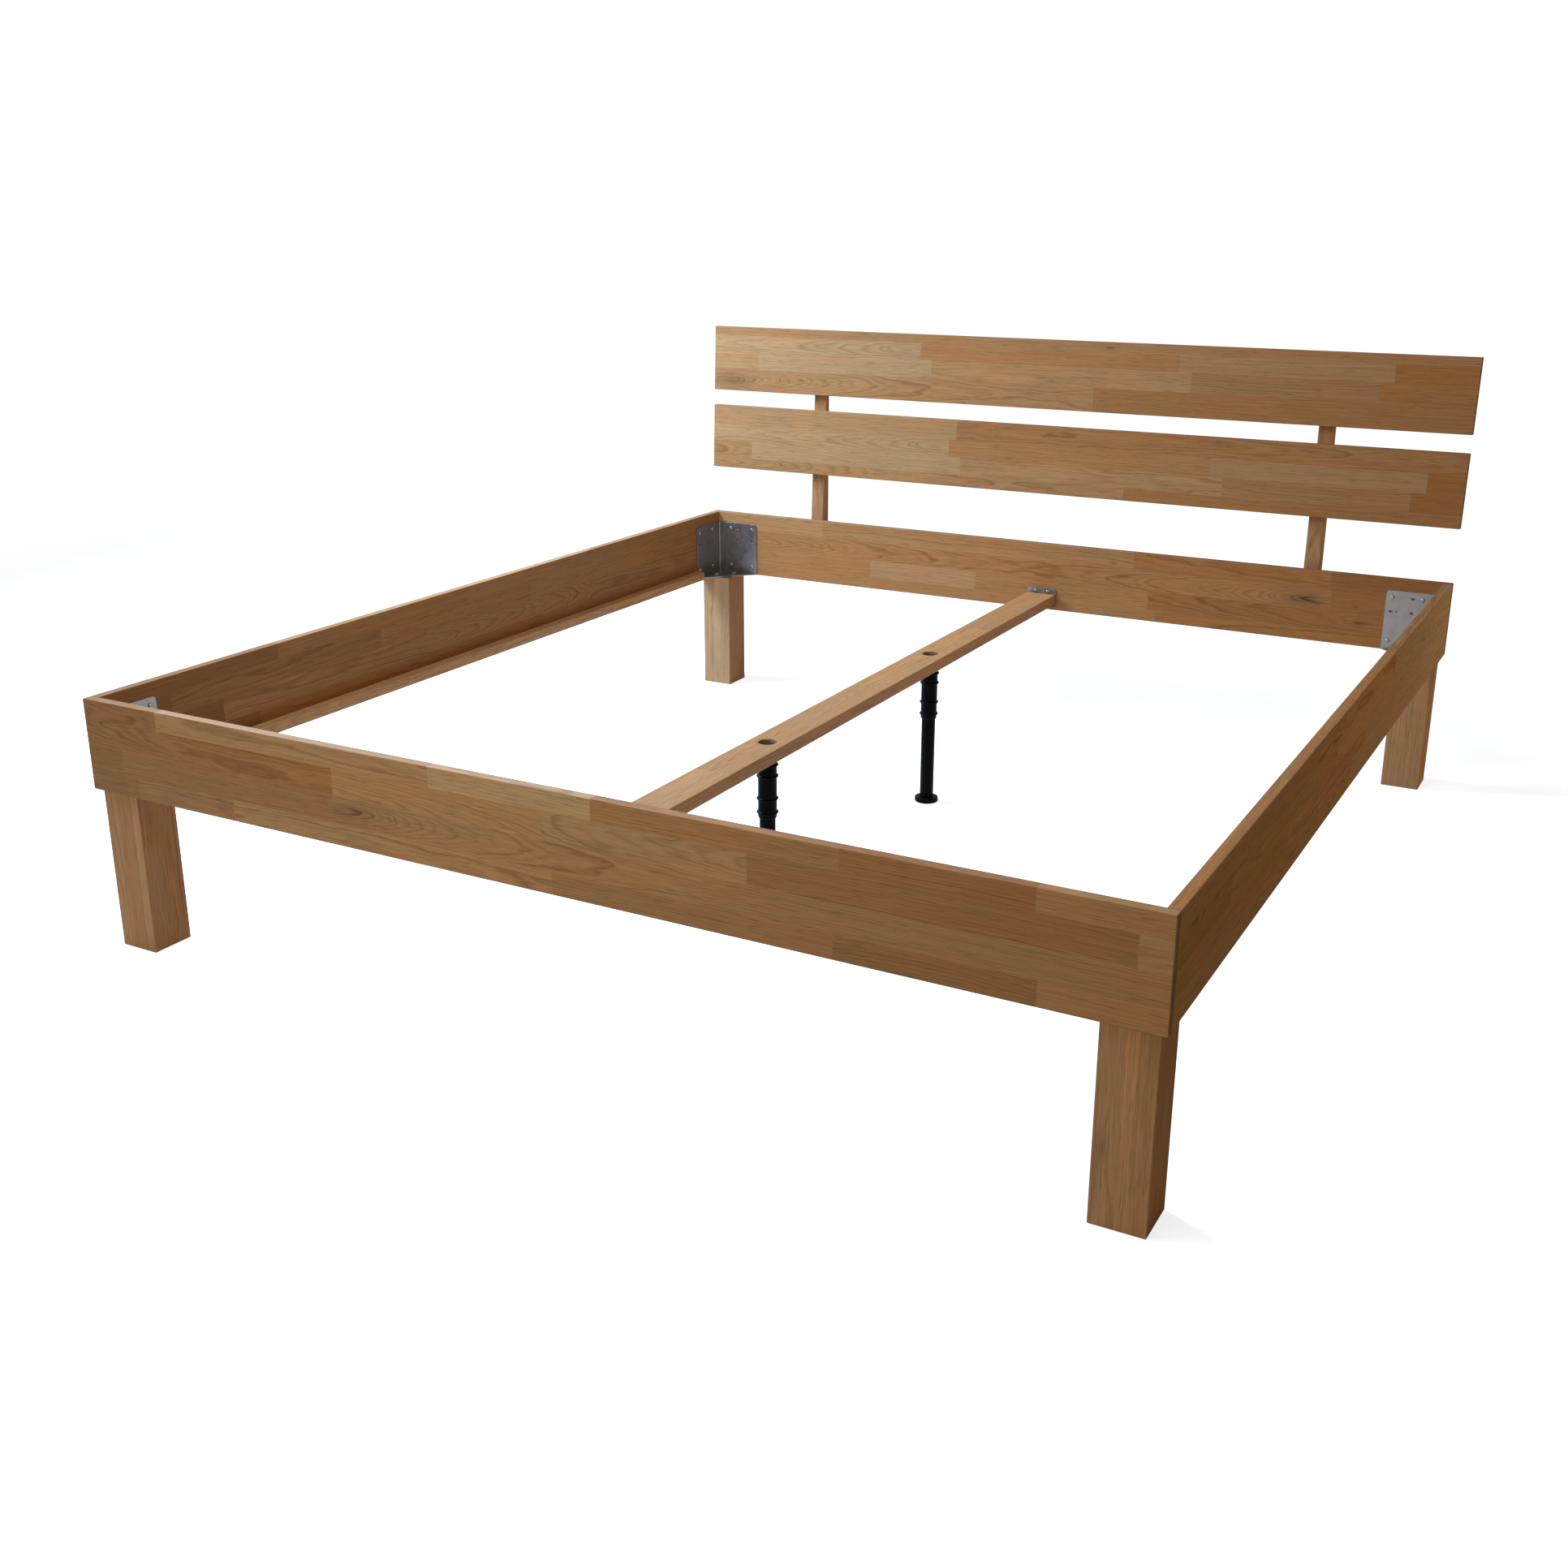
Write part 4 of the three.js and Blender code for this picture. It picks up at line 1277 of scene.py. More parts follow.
    def build(self, finishes: Finishes) -> None:
        """Builds the rails: end rails run along X and face -Y, side rails run along Y and face +X.

        Each top edge has painted light of its own: a painted sheen that lightens and cools the front, head
        and left rails' tops, the left one's most, and a lighter, warmer paint on the right rail's.

        Args:
            finishes: The materials.
        """
        plan = (
            ("front_rail", X, self.front_rows(), 11, (1.14, 1.15, 1.24)),
            ("head_rail", X, self.head_rows(), 12, (1.0, 1.02, 1.08)),
            ("left_rail", Y, self.left_rows(), 13, (1.26, 1.46, 1.85)),
            ("right_rail", Y, self.right_rows(), 14, (1.06, 0.98, 0.90)),
        )
        for node, along, rows, seed, top_painted_light in plan:
            bar = WoodBar(f"{node}_panel", rows=rows, seed=seed, ease=self.ease, top_painted_light=top_painted_light,
                          **bar_like(node, along, Z))
            settle(bar.build(finishes.board), "frame", "oak_board", node)


@dataclass
class Ledges:
    """The strips along the side rails that carry the slats."""

    ease: float = 1.2

    def build(self, finishes: Finishes) -> None:
        """Builds both ledges, each jointed from four lengths.

        Args:
            finishes: The materials.
        """
        row = Row(20, (Stave(420, 0.1, 0.8, Cut.CATHEDRAL), Stave(930, -0.1, 1.1, Cut.PLAIN),
                       Stave(1370, 0.2, 0.6, Cut.CATHEDRAL), Stave(1800, 0.0, 0.9, Cut.PLAIN)))
        for side, seed in (("left", 21), ("right", 22)):
            node = f"{side}_slat_ledge"
            bar = WoodBar(f"{node}_strip", rows=(row,), seed=seed, ease=self.ease, **bar_like(node, Y, Z))
            settle(bar.build(finishes.strip), "frame", "pale_strip", node)


@dataclass(frozen=True)
class Screw:
    """A screw with a domed head and a six-lobed recess, in millimetres."""

    head_radius: float
    head_height: float
    crown: float
    drive_radius: float
    drive_depth: float
    shank_radius: float
    length: float
    tip: float

    def turned(self) -> Turned:
        """Turns the screw from its tip up to the bottom of its recess; the crown is a quarter ellipse.

        Returns:
            The screw, with the underside of its head at nought.
        """
        turn = np.radians([0, 22, 45, 67, 90])
        flat = self.drive_radius + 0.5
        dome = [(flat + (self.head_radius - flat) * math.cos(t),
                 self.head_height - self.crown + self.crown * math.sin(t)) for t in turn]
        return Turned((
            (0.15, -self.length), (self.shank_radius, self.tip - self.length), (self.shank_radius, 0.0),
            (self.head_radius - 0.2, 0.0), (self.head_radius, 0.2), *dome,
            (self.drive_radius, self.head_height - 0.1, 0.0, 0.12),
            (self.drive_radius * 0.94, self.head_height - self.drive_depth, 0.0, 0.12),
            (0.1, self.head_height - self.drive_depth - 0.2),
        ), sides=36)


PAN_HEAD = Screw(head_radius=4.8, head_height=3.2, crown=2.2, drive_radius=1.7, drive_depth=1.6,
                 shank_radius=2.2, length=15.0, tip=4.0)


@dataclass
class Corners:
    """The four corners: a bent bracket, its screws, a laminated leg and the two bolts that hold it.

    Each hole of the bracket has a cell of the grid, which reaches as far to its sides as its room says.
    """

    sheet: float = 2.0
    bend: float = 4.0
    reach: float = 115.0
    height: float = 134.0
    columns: tuple[float, float, float] = (38.0, 58.0, 102.0)
    rows: tuple[float, float, float] = (21.0, 87.0, 119.0)
    pilot_column: float = 90.0
    hole: float = 2.5
    pilot: float = 1.9
    half_slot: float = 1.5
    room: float = 6.0
    pilot_room: float = 4.5
    outer_room: tuple[float, float] = (5.5, 5.0)
    leg_bolts: tuple[tuple[float, float], ...] = ((22.0, 56.0), (56.0, 22.0))
    leg_ease: float = 1.6
    gusset_inset: float = 1.0
    screw: Screw = PAN_HEAD

    def bracket(self) -> BentSheet:
        """The bracket's sheet: two flanges with screw holes, spare slots and a pilot hole in each.

        Returns:
            The sheet, whose second flange has the first one's holes.
        """
        inner, middle, outer = self.columns
        low, mid, top = self.rows
        marks = [inner - self.room, inner + self.room, middle - self.room, middle + self.room,
                 self.pilot_column - self.pilot_room, self.pilot_column + self.pilot_room,
                 outer - self.outer_room[0], outer + self.outer_room[1], self.reach]
        levels = [row + side * self.room for row in self.rows for side in (-1, 1)]
        spots = [SheetHole(c, r, self.hole) for c in (inner, outer) for r in (low, top)]
        spots += [SheetHole(inner, mid, self.hole), SheetHole(middle, low, self.hole),
                  SheetHole(self.pilot_column, mid, self.pilot)]
        spots += [SheetHole(c, r, self.hole, self.half_slot)
                  for c, r in ((middle, top), (middle, mid), (outer, mid))]
        both = spots + [replace(s, path=-s.path) for s in spots]
        return BentSheet(
            paths=(*(-mark for mark in marks[::-1]), *bend_marks(self.bend), *marks),
            acrosses=(0.0, *levels, self.height),
            bend=self.bend, sheet=self.sheet, holes=tuple(both),
        )

    def hex_bolt(self) -> tuple[Turned, Turned]:
        """A hex head with a chamfered, dished crown, and the pressed flange and shank under it.

        Returns:
            The head and the flange, with the flange's underside at nought.
        """
        flats = ((6.9, 1.0, 1.0), (6.9, 4.7, 1.0))
        crown = ((6.2, 5.3, 0.45), (5.2, 5.5), (4.4, 5.3), (0.2, 5.2))
        shank = ((4.0, -45.0), (4.0, 0.0))
        flange = ((8.3, 0.0), (8.5, 0.3), (8.4, 0.8), (7.0, 1.5), (0.2, 1.6))
        return Turned(flats + crown), Turned(shank + flange)

    def leg_rows(self, corner: str) -> tuple[tuple[Row, ...], tuple[Row, ...]]:
        """The leg's staves: across its front from the +X side, and on its side faces from the front back.

        Args:
            corner: The corner's name.

        Returns:
            Front rows and side rows.
        """
        fronts = {
            "front_left": (Row(17, (Stave(300, 0.9, -0.3),)), Row(34, (Stave(300, 0.0, 0.4),)),
                           Row(28, (Stave(300, 0.3, 0.2, Cut.PLAIN),))),
            "front_right": (Row(27, (Stave(300, -0.2, 0.3, Cut.PLAIN),)), Row(17, (Stave(300, 0.6, 0.0),)),
                            Row(35, (Stave(300, 0.0, 0.0, Cut.PLAIN),))),
            "rear_left": (Row(30, (Stave(300, 0.4, -1.2),)), Row(49, (Stave(300, 0.8, -1.1, Cut.PLAIN),))),
            "rear_right": (Row(40, (Stave(300, 0.0, 0.9, Cut.PLAIN),)), Row(39, (Stave(300, 0.3, 0.6),))),
        }
        # The side faces' staves are darker and redder than the fronts', partly their own tone and partly a
        # painted shade for the side that faces away from the light.
        sides = (Row(52, (Stave(98, -0.9, 1.5), Stave(300, -0.5, 1.2, Cut.PLAIN))),
                 Row(27, (Stave(300, -0.8, 1.6),)))
        return fronts[corner], sides

    def build(self, finishes: Finishes) -> None:
        """Builds the four corners; each bracket's flanges run inwards from the rails' inner corner.

        Args:
            finishes: The materials.
        """
        bracket = self.bracket()
        inner, _, outer = self.columns
        low, _, top = self.rows
        spots = [(outer, top), (inner, top), (outer, low), (inner, low)]
        turns = (("front_left", X, Y), ("front_right", Y, -X), ("rear_right", -X, -Y), ("rear_left", -Y, X))
        for index, (corner, first, second) in enumerate(turns):
            low_box, high_box = span(f"{corner}_bracket")
            inward = first + second
            start = np.where(inward > 0, low_box, high_box)
            start[2] = low_box[2]
            here = Place(start, first, second)
            near, far = self.gusset_inset, self.reach - self.gusset_inset
            gusset = here.locate(np.array([[near, near, 0.0], [far, near, 0.0], [near, far, 0.0]]))
            settle(bracket.build(f"{corner}_bracket_sheet", start, first, second, finishes.sheet, [gusset]),
                   "frame", "galvanised_sheet", f"{corner}_bracket")
            places = [Place(here.locate(np.array([c, self.sheet, r])), second, Z) for c, r in spots]
            places += [Place(here.locate(np.array([self.sheet, c, r])), first, Z) for c, r in spots]
            screw = self.screw.turned()
            settle(put_turned(f"{corner}_bracket_screws", [(screw, p) for p in places], finishes.fastener),
                   "frame", "plated_fastener", f"{corner}_bracket_screw_1", f"{corner}_bracket_screw_2")
            bolts = [Place(here.locate(np.array([a, b, self.sheet])), Z, first) for a, b in self.leg_bolts]
            pairs = [(shape, place) for shape in self.hex_bolt() for place in bolts]
            settle(put_turned(f"{corner}_leg_bolts", pairs, finishes.fastener),
                   "frame", "plated_fastener", f"{corner}_leg_bolt_1", f"{corner}_leg_bolt_2")
            fronts, sides = self.leg_rows(corner)
            leg = WoodBar(f"{corner}_leg_block", rows=fronts, sides=sides, seed=31 + index,
                          ease=self.leg_ease, **bar_like(f"{corner}_leg", -Z, X))
            settle(leg.build(finishes.leg), "frame", "oak_leg", f"{corner}_leg")


@dataclass
class Headboard:
    """Two leaning boards on two wedge-shaped posts behind the head rail."""

    lean: float = 2.9
    thickness: float = 18.0
    board_height: float = 160.0
    lift: float = 118.0
    gap: float = 39.0
    seat_gap: float = 0.3
    ease: float = 1.2
    post_ease: float = 3.0
    # A painted shade that darkens both boards' top edges a little.
    top_painted_light: tuple[float, float, float] = (0.94, 0.92, 0.90)
    bolt: Screw = Screw(head_radius=6.0, head_height=3.5, crown=2.0, drive_radius=2.1, drive_depth=2.0,
                        shank_radius=3.0, length=37.0, tip=1.5)
    wood_screw: Screw = Screw(head_radius=4.0, head_height=2.4, crown=1.4, drive_radius=1.5, drive_depth=1.3,
                              shank_radius=2.0, length=36.0, tip=3.0)
    head_clear: float = 0.3
    bolt_seat: float = 3.9
    screw_seat: float = 3.1
    sunk: float = 0.2

    def upper_rows(self) -> tuple[Row, ...]:
        """The upper board's staves, with a knotted cathedral stave at the low left.
        They run lighter and cooler at the left and darker and redder at the right, partly painted light that
        follows the key light's fall-off.

        Returns:
            The rows from the top down.
        """
        return (
            Row(21, (Stave(1868, -0.4, 1.2, Cut.QUARTER, Figure(600, 170, 6, 0.004, knot=(1062, 68, 5))),)),
            Row(39, (Stave(585, 0.5, -0.6, Cut.CATHEDRAL, Figure(588, 42, -2, -0.10, -0.08)),
                     Stave(1228, -0.3, 1.8), Stave(1698, -0.2, 0.2), Stave(1868, -0.9, 3.1))),
            Row(45, (Stave(130, 0.2, -0.1), Stave(615, 0.5, -0.9), Stave(1258, 0.1, 0.6, Cut.PLAIN),
                     Stave(1670, -0.8, 0.9, Cut.PLAIN, Figure(1460, 45, 14, arch=-0.13)),
                     Stave(1868, -0.8, 2.7))),
            Row(55, (Stave(1030, -0.2, 0.8, Cut.CATHEDRAL,
                           Figure(90, -52, -2, 0.12, -0.08, 0.0, (60, -50, 26))),
                     Stave(1868, -0.9, 2.1))),
        )

    def lower_rows(self) -> tuple[Row, ...]:
        """The lower board's staves, much as if sawn from the same panel a hand's width further on.
        Like the upper board's, they are partly painted light: lighter and cooler at the left, darker and
        redder at the right.

        Returns:
            The rows from the top down.
        """
        return (
            Row(48, (Stave(235, 0.1, 0.0), Stave(690, 0.3, 0.4), Stave(1868, -0.75, 1.9, Cut.PLAIN))),
            Row(42, (Stave(672, 0.5, -0.5, Cut.CATHEDRAL, Figure(676, 14, -2, -0.10, -0.08)),
                     Stave(1320, -0.3, 1.7), Stave(1790, -0.15, 0.3), Stave(1868, -1.3, 3.4))),
            Row(42, (Stave(115, -0.2, 0.8, Cut.PLAIN, Figure(-40, -30, 14, 0.05, knot=(20, -34, 10))),
                     Stave(703, 0.5, -0.9), Stave(1350, 0.1, 0.6, Cut.PLAIN),
                     Stave(1760, -0.8, 1.0, Cut.PLAIN, Figure(1550, 20, 14, arch=-0.13)),
                     Stave(1868, -1.3, 3.0))),
            Row(28, (Stave(1120, -0.2, 0.8, Cut.CATHEDRAL, Figure(100, -66, -2, 0.10, -0.07)),
                     Stave(1868, -0.95, 2.2))),
        )

    def build(self, finishes: Finishes) -> None:
        """Builds the boards in the lean's own directions, then the posts and their screws.

        Args:
            finishes: The materials.
        """
        tilt = math.radians(self.lean)
        up = math.sin(tilt) * Y + math.cos(tilt) * Z
        behind = math.cos(tilt) * Y - math.sin(tilt) * Z
        rail_low, rail_high = span("head_rail")
        edge = np.array([0.0, rail_high[1] + self.seat_gap * MM, rail_high[2]])
        for index, (name, rows) in enumerate((("lower", self.lower_rows()), ("upper", self.upper_rows()))):
            middle = self.lift + index * (self.board_height + self.gap) + self.board_height / 2
            length = (rail_high[0] - rail_low[0]) / MM
            start = edge + MM * (middle * up - (self.seat_gap + self.thickness / 2) * behind)
            start[0] = rail_low[0]
            bar = WoodBar(f"headboard_{name}_panel", Place(start, X, up), length, self.board_height,
                          self.thickness, rows, 41 + index, ease=self.ease, top_painted_light=self.top_painted_light)
            settle(bar.build(finishes.board), "frame", "oak_board", f"headboard_{name}_board")
        for index, side in enumerate(("left", "right")):
            self._post(side, 51 + index, edge, behind, finishes)

    def _post(self, side: str, seed: int, edge: np.ndarray, behind: np.ndarray, finishes: Finishes) -> None:
        """Builds one post with its sunk screws.

        Args:
            side: Which side it stands on.
            seed: Seed for its staves.
            edge: The head rail's back top edge.
            behind: The direction square to the boards, away from the bed.
            finishes: The materials.
        """
        low, high = span(f"{side}_post")
        middle = (low[0] + high[0]) / 2
        length, width, depth = (high[2] - low[2]) / MM, (high[0] - low[0]) / MM, (high[1] - low[1]) / MM
        kink = (edge[2] - low[2]) / MM
        top_back = (length - kink) * math.tan(math.radians(self.lean))
        bolts = [f"{side}_post_bolt_{i}" for i in (1, 2)]
        screws = [f"{side}_{board}_board_screw_{i}" for board in ("lower", "upper") for i in (1, 2)]

        def height_of(node: str, radius: float) -> float:
            """How high a fastener's head sits above the post's foot."""
            return (span(node)[0][2] - low[2]) / MM + radius

        bores = []
        for nodes, kind, seat in ((bolts, self.bolt, self.bolt_seat),
                                  (screws, self.wood_screw, self.screw_seat)):
            radius = kind.head_radius
            bores += [Bore(height_of(node, radius), 0.0, radius + self.head_clear, seat) for node in nodes]
        row = Row(width, (Stave(length, -0.25, 1.2, Cut.PLAIN),))
        post = WoodBar(
            f"{side}_post_wedge", Place(np.array([middle, edge[1], low[2]]), Z, X), length, width, depth,
            (row,), seed, ease=self.post_ease, bores=tuple(bores),
            leans=((0.0, depth, 0.0), (kink, depth, 0.0), (length, depth, top_back)),
        )
        settle(post.build(finishes.leg), "frame", "oak_post", f"{side}_post")
        level = edge[1] + MM * (depth - self.bolt_seat)
        pairs = [(self.bolt.turned(), Place(np.array([middle, level, low[2] + MM * bore.along]), Y, Z))
                 for bore in bores[:len(bolts)]]
        settle(put_turned(f"{side}_post_bolts", pairs, finishes.fastener),
               "frame", "plated_fastener", *bolts)
        pairs = []
        head = self.wood_screw.head_height + self.sunk
        for node, bore in zip(screws, bores[len(bolts):]):
            begin, finish = span(node)
            shape = replace(self.wood_screw, length=(finish[1] - begin[1]) / MM - head)
            back = np.array([middle, finish[1], low[2] + MM * bore.along])
            pairs.append((shape.turned(), Place(back - MM * head * behind, behind, X)))
        settle(put_turned(f"{side}_board_screws", pairs, finishes.fastener),
               "frame", "plated_fastener", *screws)


@dataclass
class CentreBeam:
    """The beam under the slats' middle, hung from both end rails by steel angles."""

    ease: float = 1.6
    hole: float = 16.8
    hole_reach: float = 26.0
    sheet: float = 2.0
    bend: float = 3.0
    upstand_corner: float = 8.0
    screw_half_spacing: float = 16.0
    screw_drop: float = 9.0
    screw_hole: float = 2.5
    screw_room: float = 5.0
    screw_room_down: float = 4.5
    screw_room_up: float = 4.0
    screw: Screw = PAN_HEAD

    def build(self, finishes: Finishes) -> None:
        """Builds the beam with a round hole over each support leg, then both hangers with their screws.

        Args:
            finishes: The materials.
        """
        fit = bar_like("centre_beam", Y, -X)
        begin = fit["place"].start[1]
        tubes = [span(f"{end}_support_tube") for end in ("front", "rear")]
        holes = [((low[1] + high[1]) / 2 - begin) / MM for low, high in tubes]
        row = Row(72, (Stave(470, 0.0, 0.8, Cut.PLAIN), Stave(1060, -0.1, 1.2, Cut.CATHEDRAL),
                       Stave(1610, 0.15, 1.5, Cut.PLAIN), Stave(2012, 0.0, 1.8)))
        beam = WoodBar("centre_beam_plank", rows=(row,), seed=61, ease=self.ease,
                       bores=tuple(Bore(h, 0.0, self.hole, reach=self.hole_reach) for h in holes), **fit)
        settle(beam.build(finishes.strip), "frame", "pale_strip", "centre_beam")
        for end, inward in (("front", Y), ("rear", -Y)):
            self._hanger(end, inward, finishes)

    def _hanger(self, end: str, inward: np.ndarray, finishes: Finishes) -> None:
        """Builds one hanger: a shelf under the beam that runs inwards, and an upstand on the rail.

        Args:
            end: Which end rail it hangs on.
            inward: The direction from that rail to the bed's middle.
            finishes: The materials.
        """
        low, high = span(f"{end}_beam_hanger")
        width, height = (high[0] - low[0]) / MM, (high[2] - low[2]) / MM
        shelf = (high[1] - low[1]) / MM
        start = np.array([(low[0] + high[0]) / 2, low[1] if inward[1] > 0 else high[1], low[2]])
        half, corner, level = width / 2, self.upstand_corner, height - self.screw_drop
        near, far = self.screw_half_spacing - self.screw_room, self.screw_half_spacing + self.screw_room
        angle = BentSheet(
            paths=(-shelf, corner - shelf, *bend_marks(self.bend),
                   level - self.screw_room_down, level + self.screw_room_up, height),
            acrosses=(-half, corner - half, -far, -near, near, far, half - corner, half),
            bend=self.bend, sheet=self.sheet, round_low=True,
            holes=tuple(SheetHole(level, side * self.screw_half_spacing, self.screw_hole)
                        for side in (-1, 1)),
        )
        settle(angle.build(f"{end}_hanger_angle", start, inward, Z, finishes.sheet),
               "frame", "galvanised_sheet", f"{end}_beam_hanger")
        seats = [start + MM * (side * self.screw_half_spacing * X + self.sheet * inward + level * Z)
                 for side in (-1, 1)]
        pairs = [(self.screw.turned(), Place(seat, inward, Z)) for seat in seats]
        settle(put_turned(f"{end}_hanger_screws", pairs, finishes.fastener),
               "frame", "plated_fastener", f"{end}_hanger_screw_1", f"{end}_hanger_screw_2")


@dataclass
class SupportLegs:
    """Two black legs under the beam, each a ribbed sleeve and a tube on a round pad.

    The sleeve plugs into the beam, and the tube slides in the sleeve. A sleeve's heights are drops below the
    beam's underside, save for its spigot's top, which is above it.
    """

    sleeve: float = 17.0
    sleeve_length: float = 118.5
    lip: float = 15.6
    lip_length: float = 3.5
    bore: float = 14.8
    roof: float = 5.0
    spigot: float = 16.5
    spigot_bore: float = 14.0
    spigot_top: float = 12.0
    collar: float = 3.0
    rib: float = 19.7
    rib_half: float = 2.4
    rib_crest: float = 1.2
    rib_drops: tuple[float, ...] = (107.0, 81.0, 38.5, 17.5)
    seat_gap: float = 0.3
    tube: float = 14.5
    tube_bore: float = 12.0
    pad: float = 25.2
    pad_thickness: float = 10.0
    pad_round: float = 2.4
    plug_clear: float = 0.3
    plug_length: float = 20.0
    sides: int = 72

    def sleeve_shape(self) -> Turned:
        """The sleeve from its lip up: four ribs, the collar, the spigot, and the two bores inside.

        Returns:
            The sleeve, with the beam's underside at nought.
        """
        outside = [(self.bore, -self.sleeve_length), (self.lip, -self.sleeve_length),
                   (self.sleeve, self.lip_length - self.sleeve_length)]
        for drop in self.rib_drops:
            outside += [(self.sleeve, -drop - self.rib_half), (self.rib, -drop - self.rib_crest),
                        (self.rib, -drop + self.rib_crest), (self.sleeve, -drop + self.rib_half)]
        outside += [(self.sleeve, -self.collar), (self.rib, -self.collar), (self.rib, -self.seat_gap),
                    (self.spigot, -self.seat_gap), (self.spigot, self.spigot_top)]
        inside = [(self.spigot_bore, self.spigot_top), (self.spigot_bore, -self.roof),
                  (self.bore, -self.roof)]
        return Turned(softened(outside + inside, radius=0.6, steps=3), self.sides, hollow=True)

    def tube_shape(self, top: float) -> Turned:
        """The inner tube, from the pad up.

        Args:
            top: The height of its upper end above the floor.

        Returns:
            The tube, with the floor at nought.
        """
        section = [(self.tube_bore, self.pad_thickness), (self.tube, self.pad_thickness),
                   (self.tube, top), (self.tube_bore, top)]
        return Turned(softened(section, radius=0.4, steps=2), self.sides, hollow=True)

    def pad_shape(self) -> Turned:
        """The round pad, with the plug on it that the tube sits on.

        Returns:
            The pad, with the floor at nought.
        """
        thick, plug = self.pad_thickness, self.tube_bore - self.plug_clear
        plug_top = thick + self.plug_length
        outline = [(0.2, 0.0), (self.pad, 0.0), (self.pad, thick), (plug, thick), (plug, plug_top),
                   (0.2, plug_top)]
        return Turned(softened(outline, self.pad_round, steps=5, closed=False), self.sides)

    def build(self, finishes: Finishes) -> None:
        """Builds both legs; the tube and the pad ride on the leg's own sliding body.

        Args:
            finishes: The materials.
        """
        underside = span("centre_beam")[0][2]
        for end in ("front", "rear"):
            low, high = span(f"{end}_support_tube")
            middle = (low + high) / 2
            foot = Place(np.array([middle[0], middle[1], span(f"{end}_support_pad")[0][2]]), Z, X)
            top = Place(np.array([middle[0], middle[1], underside]), Z, X)
            settle(put_turned(f"{end}_sleeve_ribbed", [(self.sleeve_shape(), top)], finishes.plastic),
                   "frame", "black_plastic", f"{end}_support_sleeve")
            tube = self.tube_shape((high[2] - foot.start[2]) / MM)
            settle(put_turned(f"{end}_tube_sliding", [(tube, foot)], finishes.plastic),
                   f"{end}_support", "black_plastic", f"{end}_support_tube")
            settle(put_turned(f"{end}_pad_round", [(self.pad_shape(), foot)], finishes.plastic),
                   f"{end}_support", "black_plastic", f"{end}_support_pad")


# ---------------------------------------------------------------- studio
@dataclass(frozen=True)
class Softbox:
    """A square lamp: where it stands, what it faces, its side in metres, its power in watts and its tint."""

    name: str
    stand: tuple[float, float, float]
    aim: tuple[float, float, float]
    side: float
    power: float
    tint: str

    def build(self) -> None:
        """Puts the lamp in the scene."""
        lamp = bpy.data.lights.new(self.name, "AREA")
        lamp.shape = "SQUARE"
        lamp.size = self.side
        lamp.energy = self.power
        lamp.color = linear(self.tint)[:3]
        body = bpy.data.objects.new(self.name, lamp)
        body.location = self.stand
        body.rotation_euler = (Vector(self.aim) - Vector(self.stand)).to_track_quat("-Z", "Y").to_euler()
        bpy.context.scene.collection.objects.link(body)


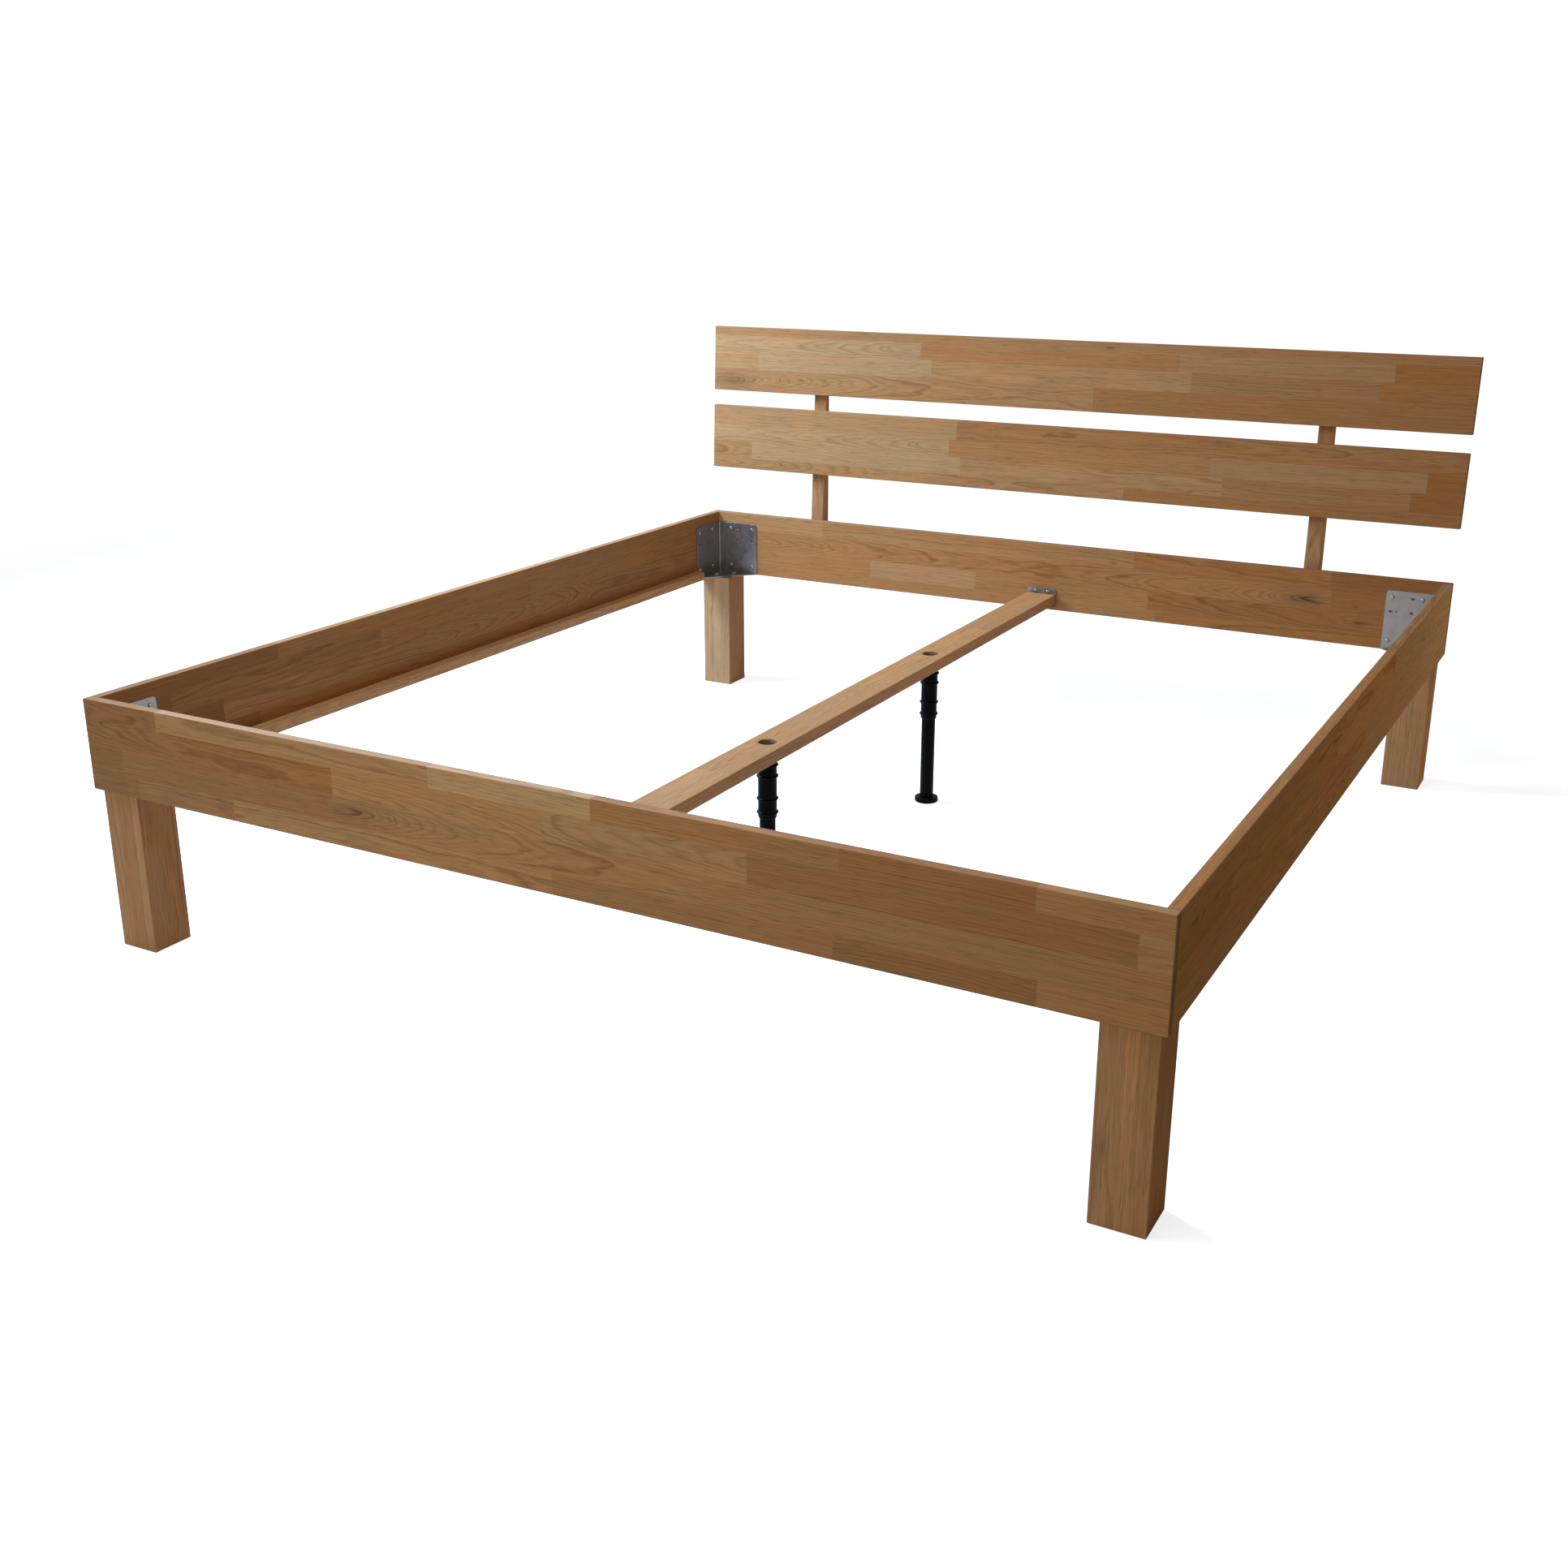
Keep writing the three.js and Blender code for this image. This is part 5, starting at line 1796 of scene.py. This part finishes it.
@dataclass
class Studio:
    """A pale floor in a white surround, a soft key lamp over the bed's left side, and the camera.

    Lengths are metres, angles degrees, and the lens is in millimetres on a sensor 36 mm wide.
    """

    floor_side: float = 40.0
    floor_colour: str = "#E6E4E1"
    floor_dim: float = 0.16
    floor_near: float = 1.6
    floor_far: float = 5.0
    ambient: float = 0.148
    ambient_colour: str = "#FFE4C0"
    lamps: tuple[Softbox, ...] = (
        Softbox("key", (-2.0, 0.15, 2.0), (0.0, 0.6, 0.4), 1.0, 136.0, "#AECEFF"),
        Softbox("front_top", (-0.4, -1.6, 2.4), (0.0, -0.9, 0.4), 1.0, 28.0, "#CFE1FF"),
        Softbox("front_fill", (0.0, -3.1, 1.2), (-0.1, -1.0, 0.3), 1.4, 10.5, "#FFF7EC"),
        Softbox("right_far", (2.3, 1.9, 0.35), (0.95, 0.8, 0.35), 0.6, 9.0, "#FFF9F2"),
    )
    eye: tuple[float, float, float] = (1.41663, -2.86138, 1.24949)
    yaw: float = 28.93
    pitch: float = -18.50
    lens: float = 39.014
    shift: tuple[float, float] = (-0.0009, -0.0130)

    def build(self) -> None:
        """Sets up the view, the floor, the surround and the lamps."""
        scene = bpy.context.scene
        scene.view_settings.view_transform = "Standard"
        self._camera(scene)
        self._world(scene)
        self._floor()
        for lamp in self.lamps:
            lamp.build()

    def _camera(self, scene: bpy.types.Scene) -> None:
        """Stands the camera 1.25 m up, off the bed's front right corner, looking down along the diagonal.

        Args:
            scene: The scene that looks through it.
        """
        camera = bpy.data.cameras.new("view")
        camera.lens = self.lens
        camera.sensor_width = 36.0
        camera.shift_x, camera.shift_y = self.shift
        body = bpy.data.objects.new("view", camera)
        yaw, pitch = math.radians(self.yaw), math.radians(self.pitch)
        forward = Vector((-math.sin(yaw) * math.cos(pitch), math.cos(yaw) * math.cos(pitch), math.sin(pitch)))
        body.location = self.eye
        body.rotation_euler = forward.to_track_quat("-Z", "Y").to_euler()
        scene.collection.objects.link(body)
        scene.camera = body

    def _seen(self, tree: bpy.types.NodeTree) -> Signal:
        """Tells looking from lighting.

        Args:
            tree: The tree that takes the nodes.

        Returns:
            One for rays from the camera, reflections and clear materials, and nought for the rest.
        """
        rays = add_node(tree, "ShaderNodeLightPath").outputs
        camera, glossy, clear = (Signal(tree, rays[f"Is {kind} Ray"])
                                 for kind in ("Camera", "Glossy", "Transmission"))
        either = camera.through(MATHS, glossy, operation="MAXIMUM")
        return either.through(MATHS, clear, operation="MAXIMUM")

    def _world(self, scene: bpy.types.Scene) -> None:
        """A surround that looks white and lights the bed with a plain, even ambient light.

        Args:
            scene: The scene it is put round.
        """
        world = bpy.data.worlds.new("surround")
        world.use_nodes = True
        tree = world.node_tree
        tree.nodes.clear()
        seen = self._seen(tree)
        wires = {0: seen, 6: linear(self.ambient_colour), 7: linear("#FFFFFF")}
        colour = add_node(tree, "ShaderNodeMix", wires, data_type="RGBA").outputs[2]
        strength = seen * (1.0 - self.ambient) + self.ambient
        light = add_node(tree, "ShaderNodeBackground", {"Color": colour, "Strength": strength})
        add_node(tree, "ShaderNodeOutputWorld", {"Surface": light.outputs[0]})
        scene.world = world

    def _floor(self) -> None:
        """A matt pale floor that takes the bed's shadow, lifted to white where it is only looked at.

        The lift is what the ambient light leaves short of white. Under the bed it is less by the dim, so that
        shadows show, and it grows evenly from the near to the far distance from the bed's middle. The floor
        lies 0.4 mm below the feet, so that no two faces share a plane.
        """
        material = new_material("floor_matt_pale_paint")
        tree = material.node_tree
        paint = add_node(tree, "ShaderNodeBsdfDiffuse", {"Color": linear(self.floor_colour)})
        short = [1 - self.ambient * own * sky
                 for own, sky in zip(linear(self.floor_colour)[:3], linear(self.ambient_colour)[:3])]
        place = add_node(tree, "ShaderNodeTexCoord").outputs["Object"]
        reach = Signal(tree, add_node(tree, VECTORS, {0: place}, operation="LENGTH").outputs["Value"])
        share = (reach - self.floor_near) / (self.floor_far - self.floor_near)
        share = share.through(MATHS, 1.0, operation="MULTIPLY", use_clamp=True)
        strength = self._seen(tree) * (share * self.floor_dim + (1.0 - self.floor_dim))
        lift = add_node(tree, "ShaderNodeEmission", {"Color": (*short, 1.0), "Strength": strength})
        both = add_node(tree, "ShaderNodeAddShader", {0: paint.outputs[0], 1: lift.outputs[0]})
        add_node(tree, "ShaderNodeOutputMaterial", {"Surface": both.outputs[0]})
        side, level = self.floor_side / 2, -0.4 * MM
        corners = np.array([[-side, -side, level], [side, -side, level],
                            [side, side, level], [-side, side, level]])
        put_mesh("studio_floor", corners, [np.array([[0, 1, 2, 3]])], material)


def main() -> None:
    """Loads the frame, and builds the studio and every sub-assembly."""
    logging.basicConfig(level=logging.INFO, format="%(name)s %(message)s")
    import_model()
    Studio().build()
    finishes = Finishes.made()
    for assembly in (Rails(), Ledges(), Corners(), Headboard(), CentreBeam(), SupportLegs()):
        assembly.build(finishes)
        LOG.info("%s done", type(assembly).__name__)


if __name__ == "__main__":
    main()
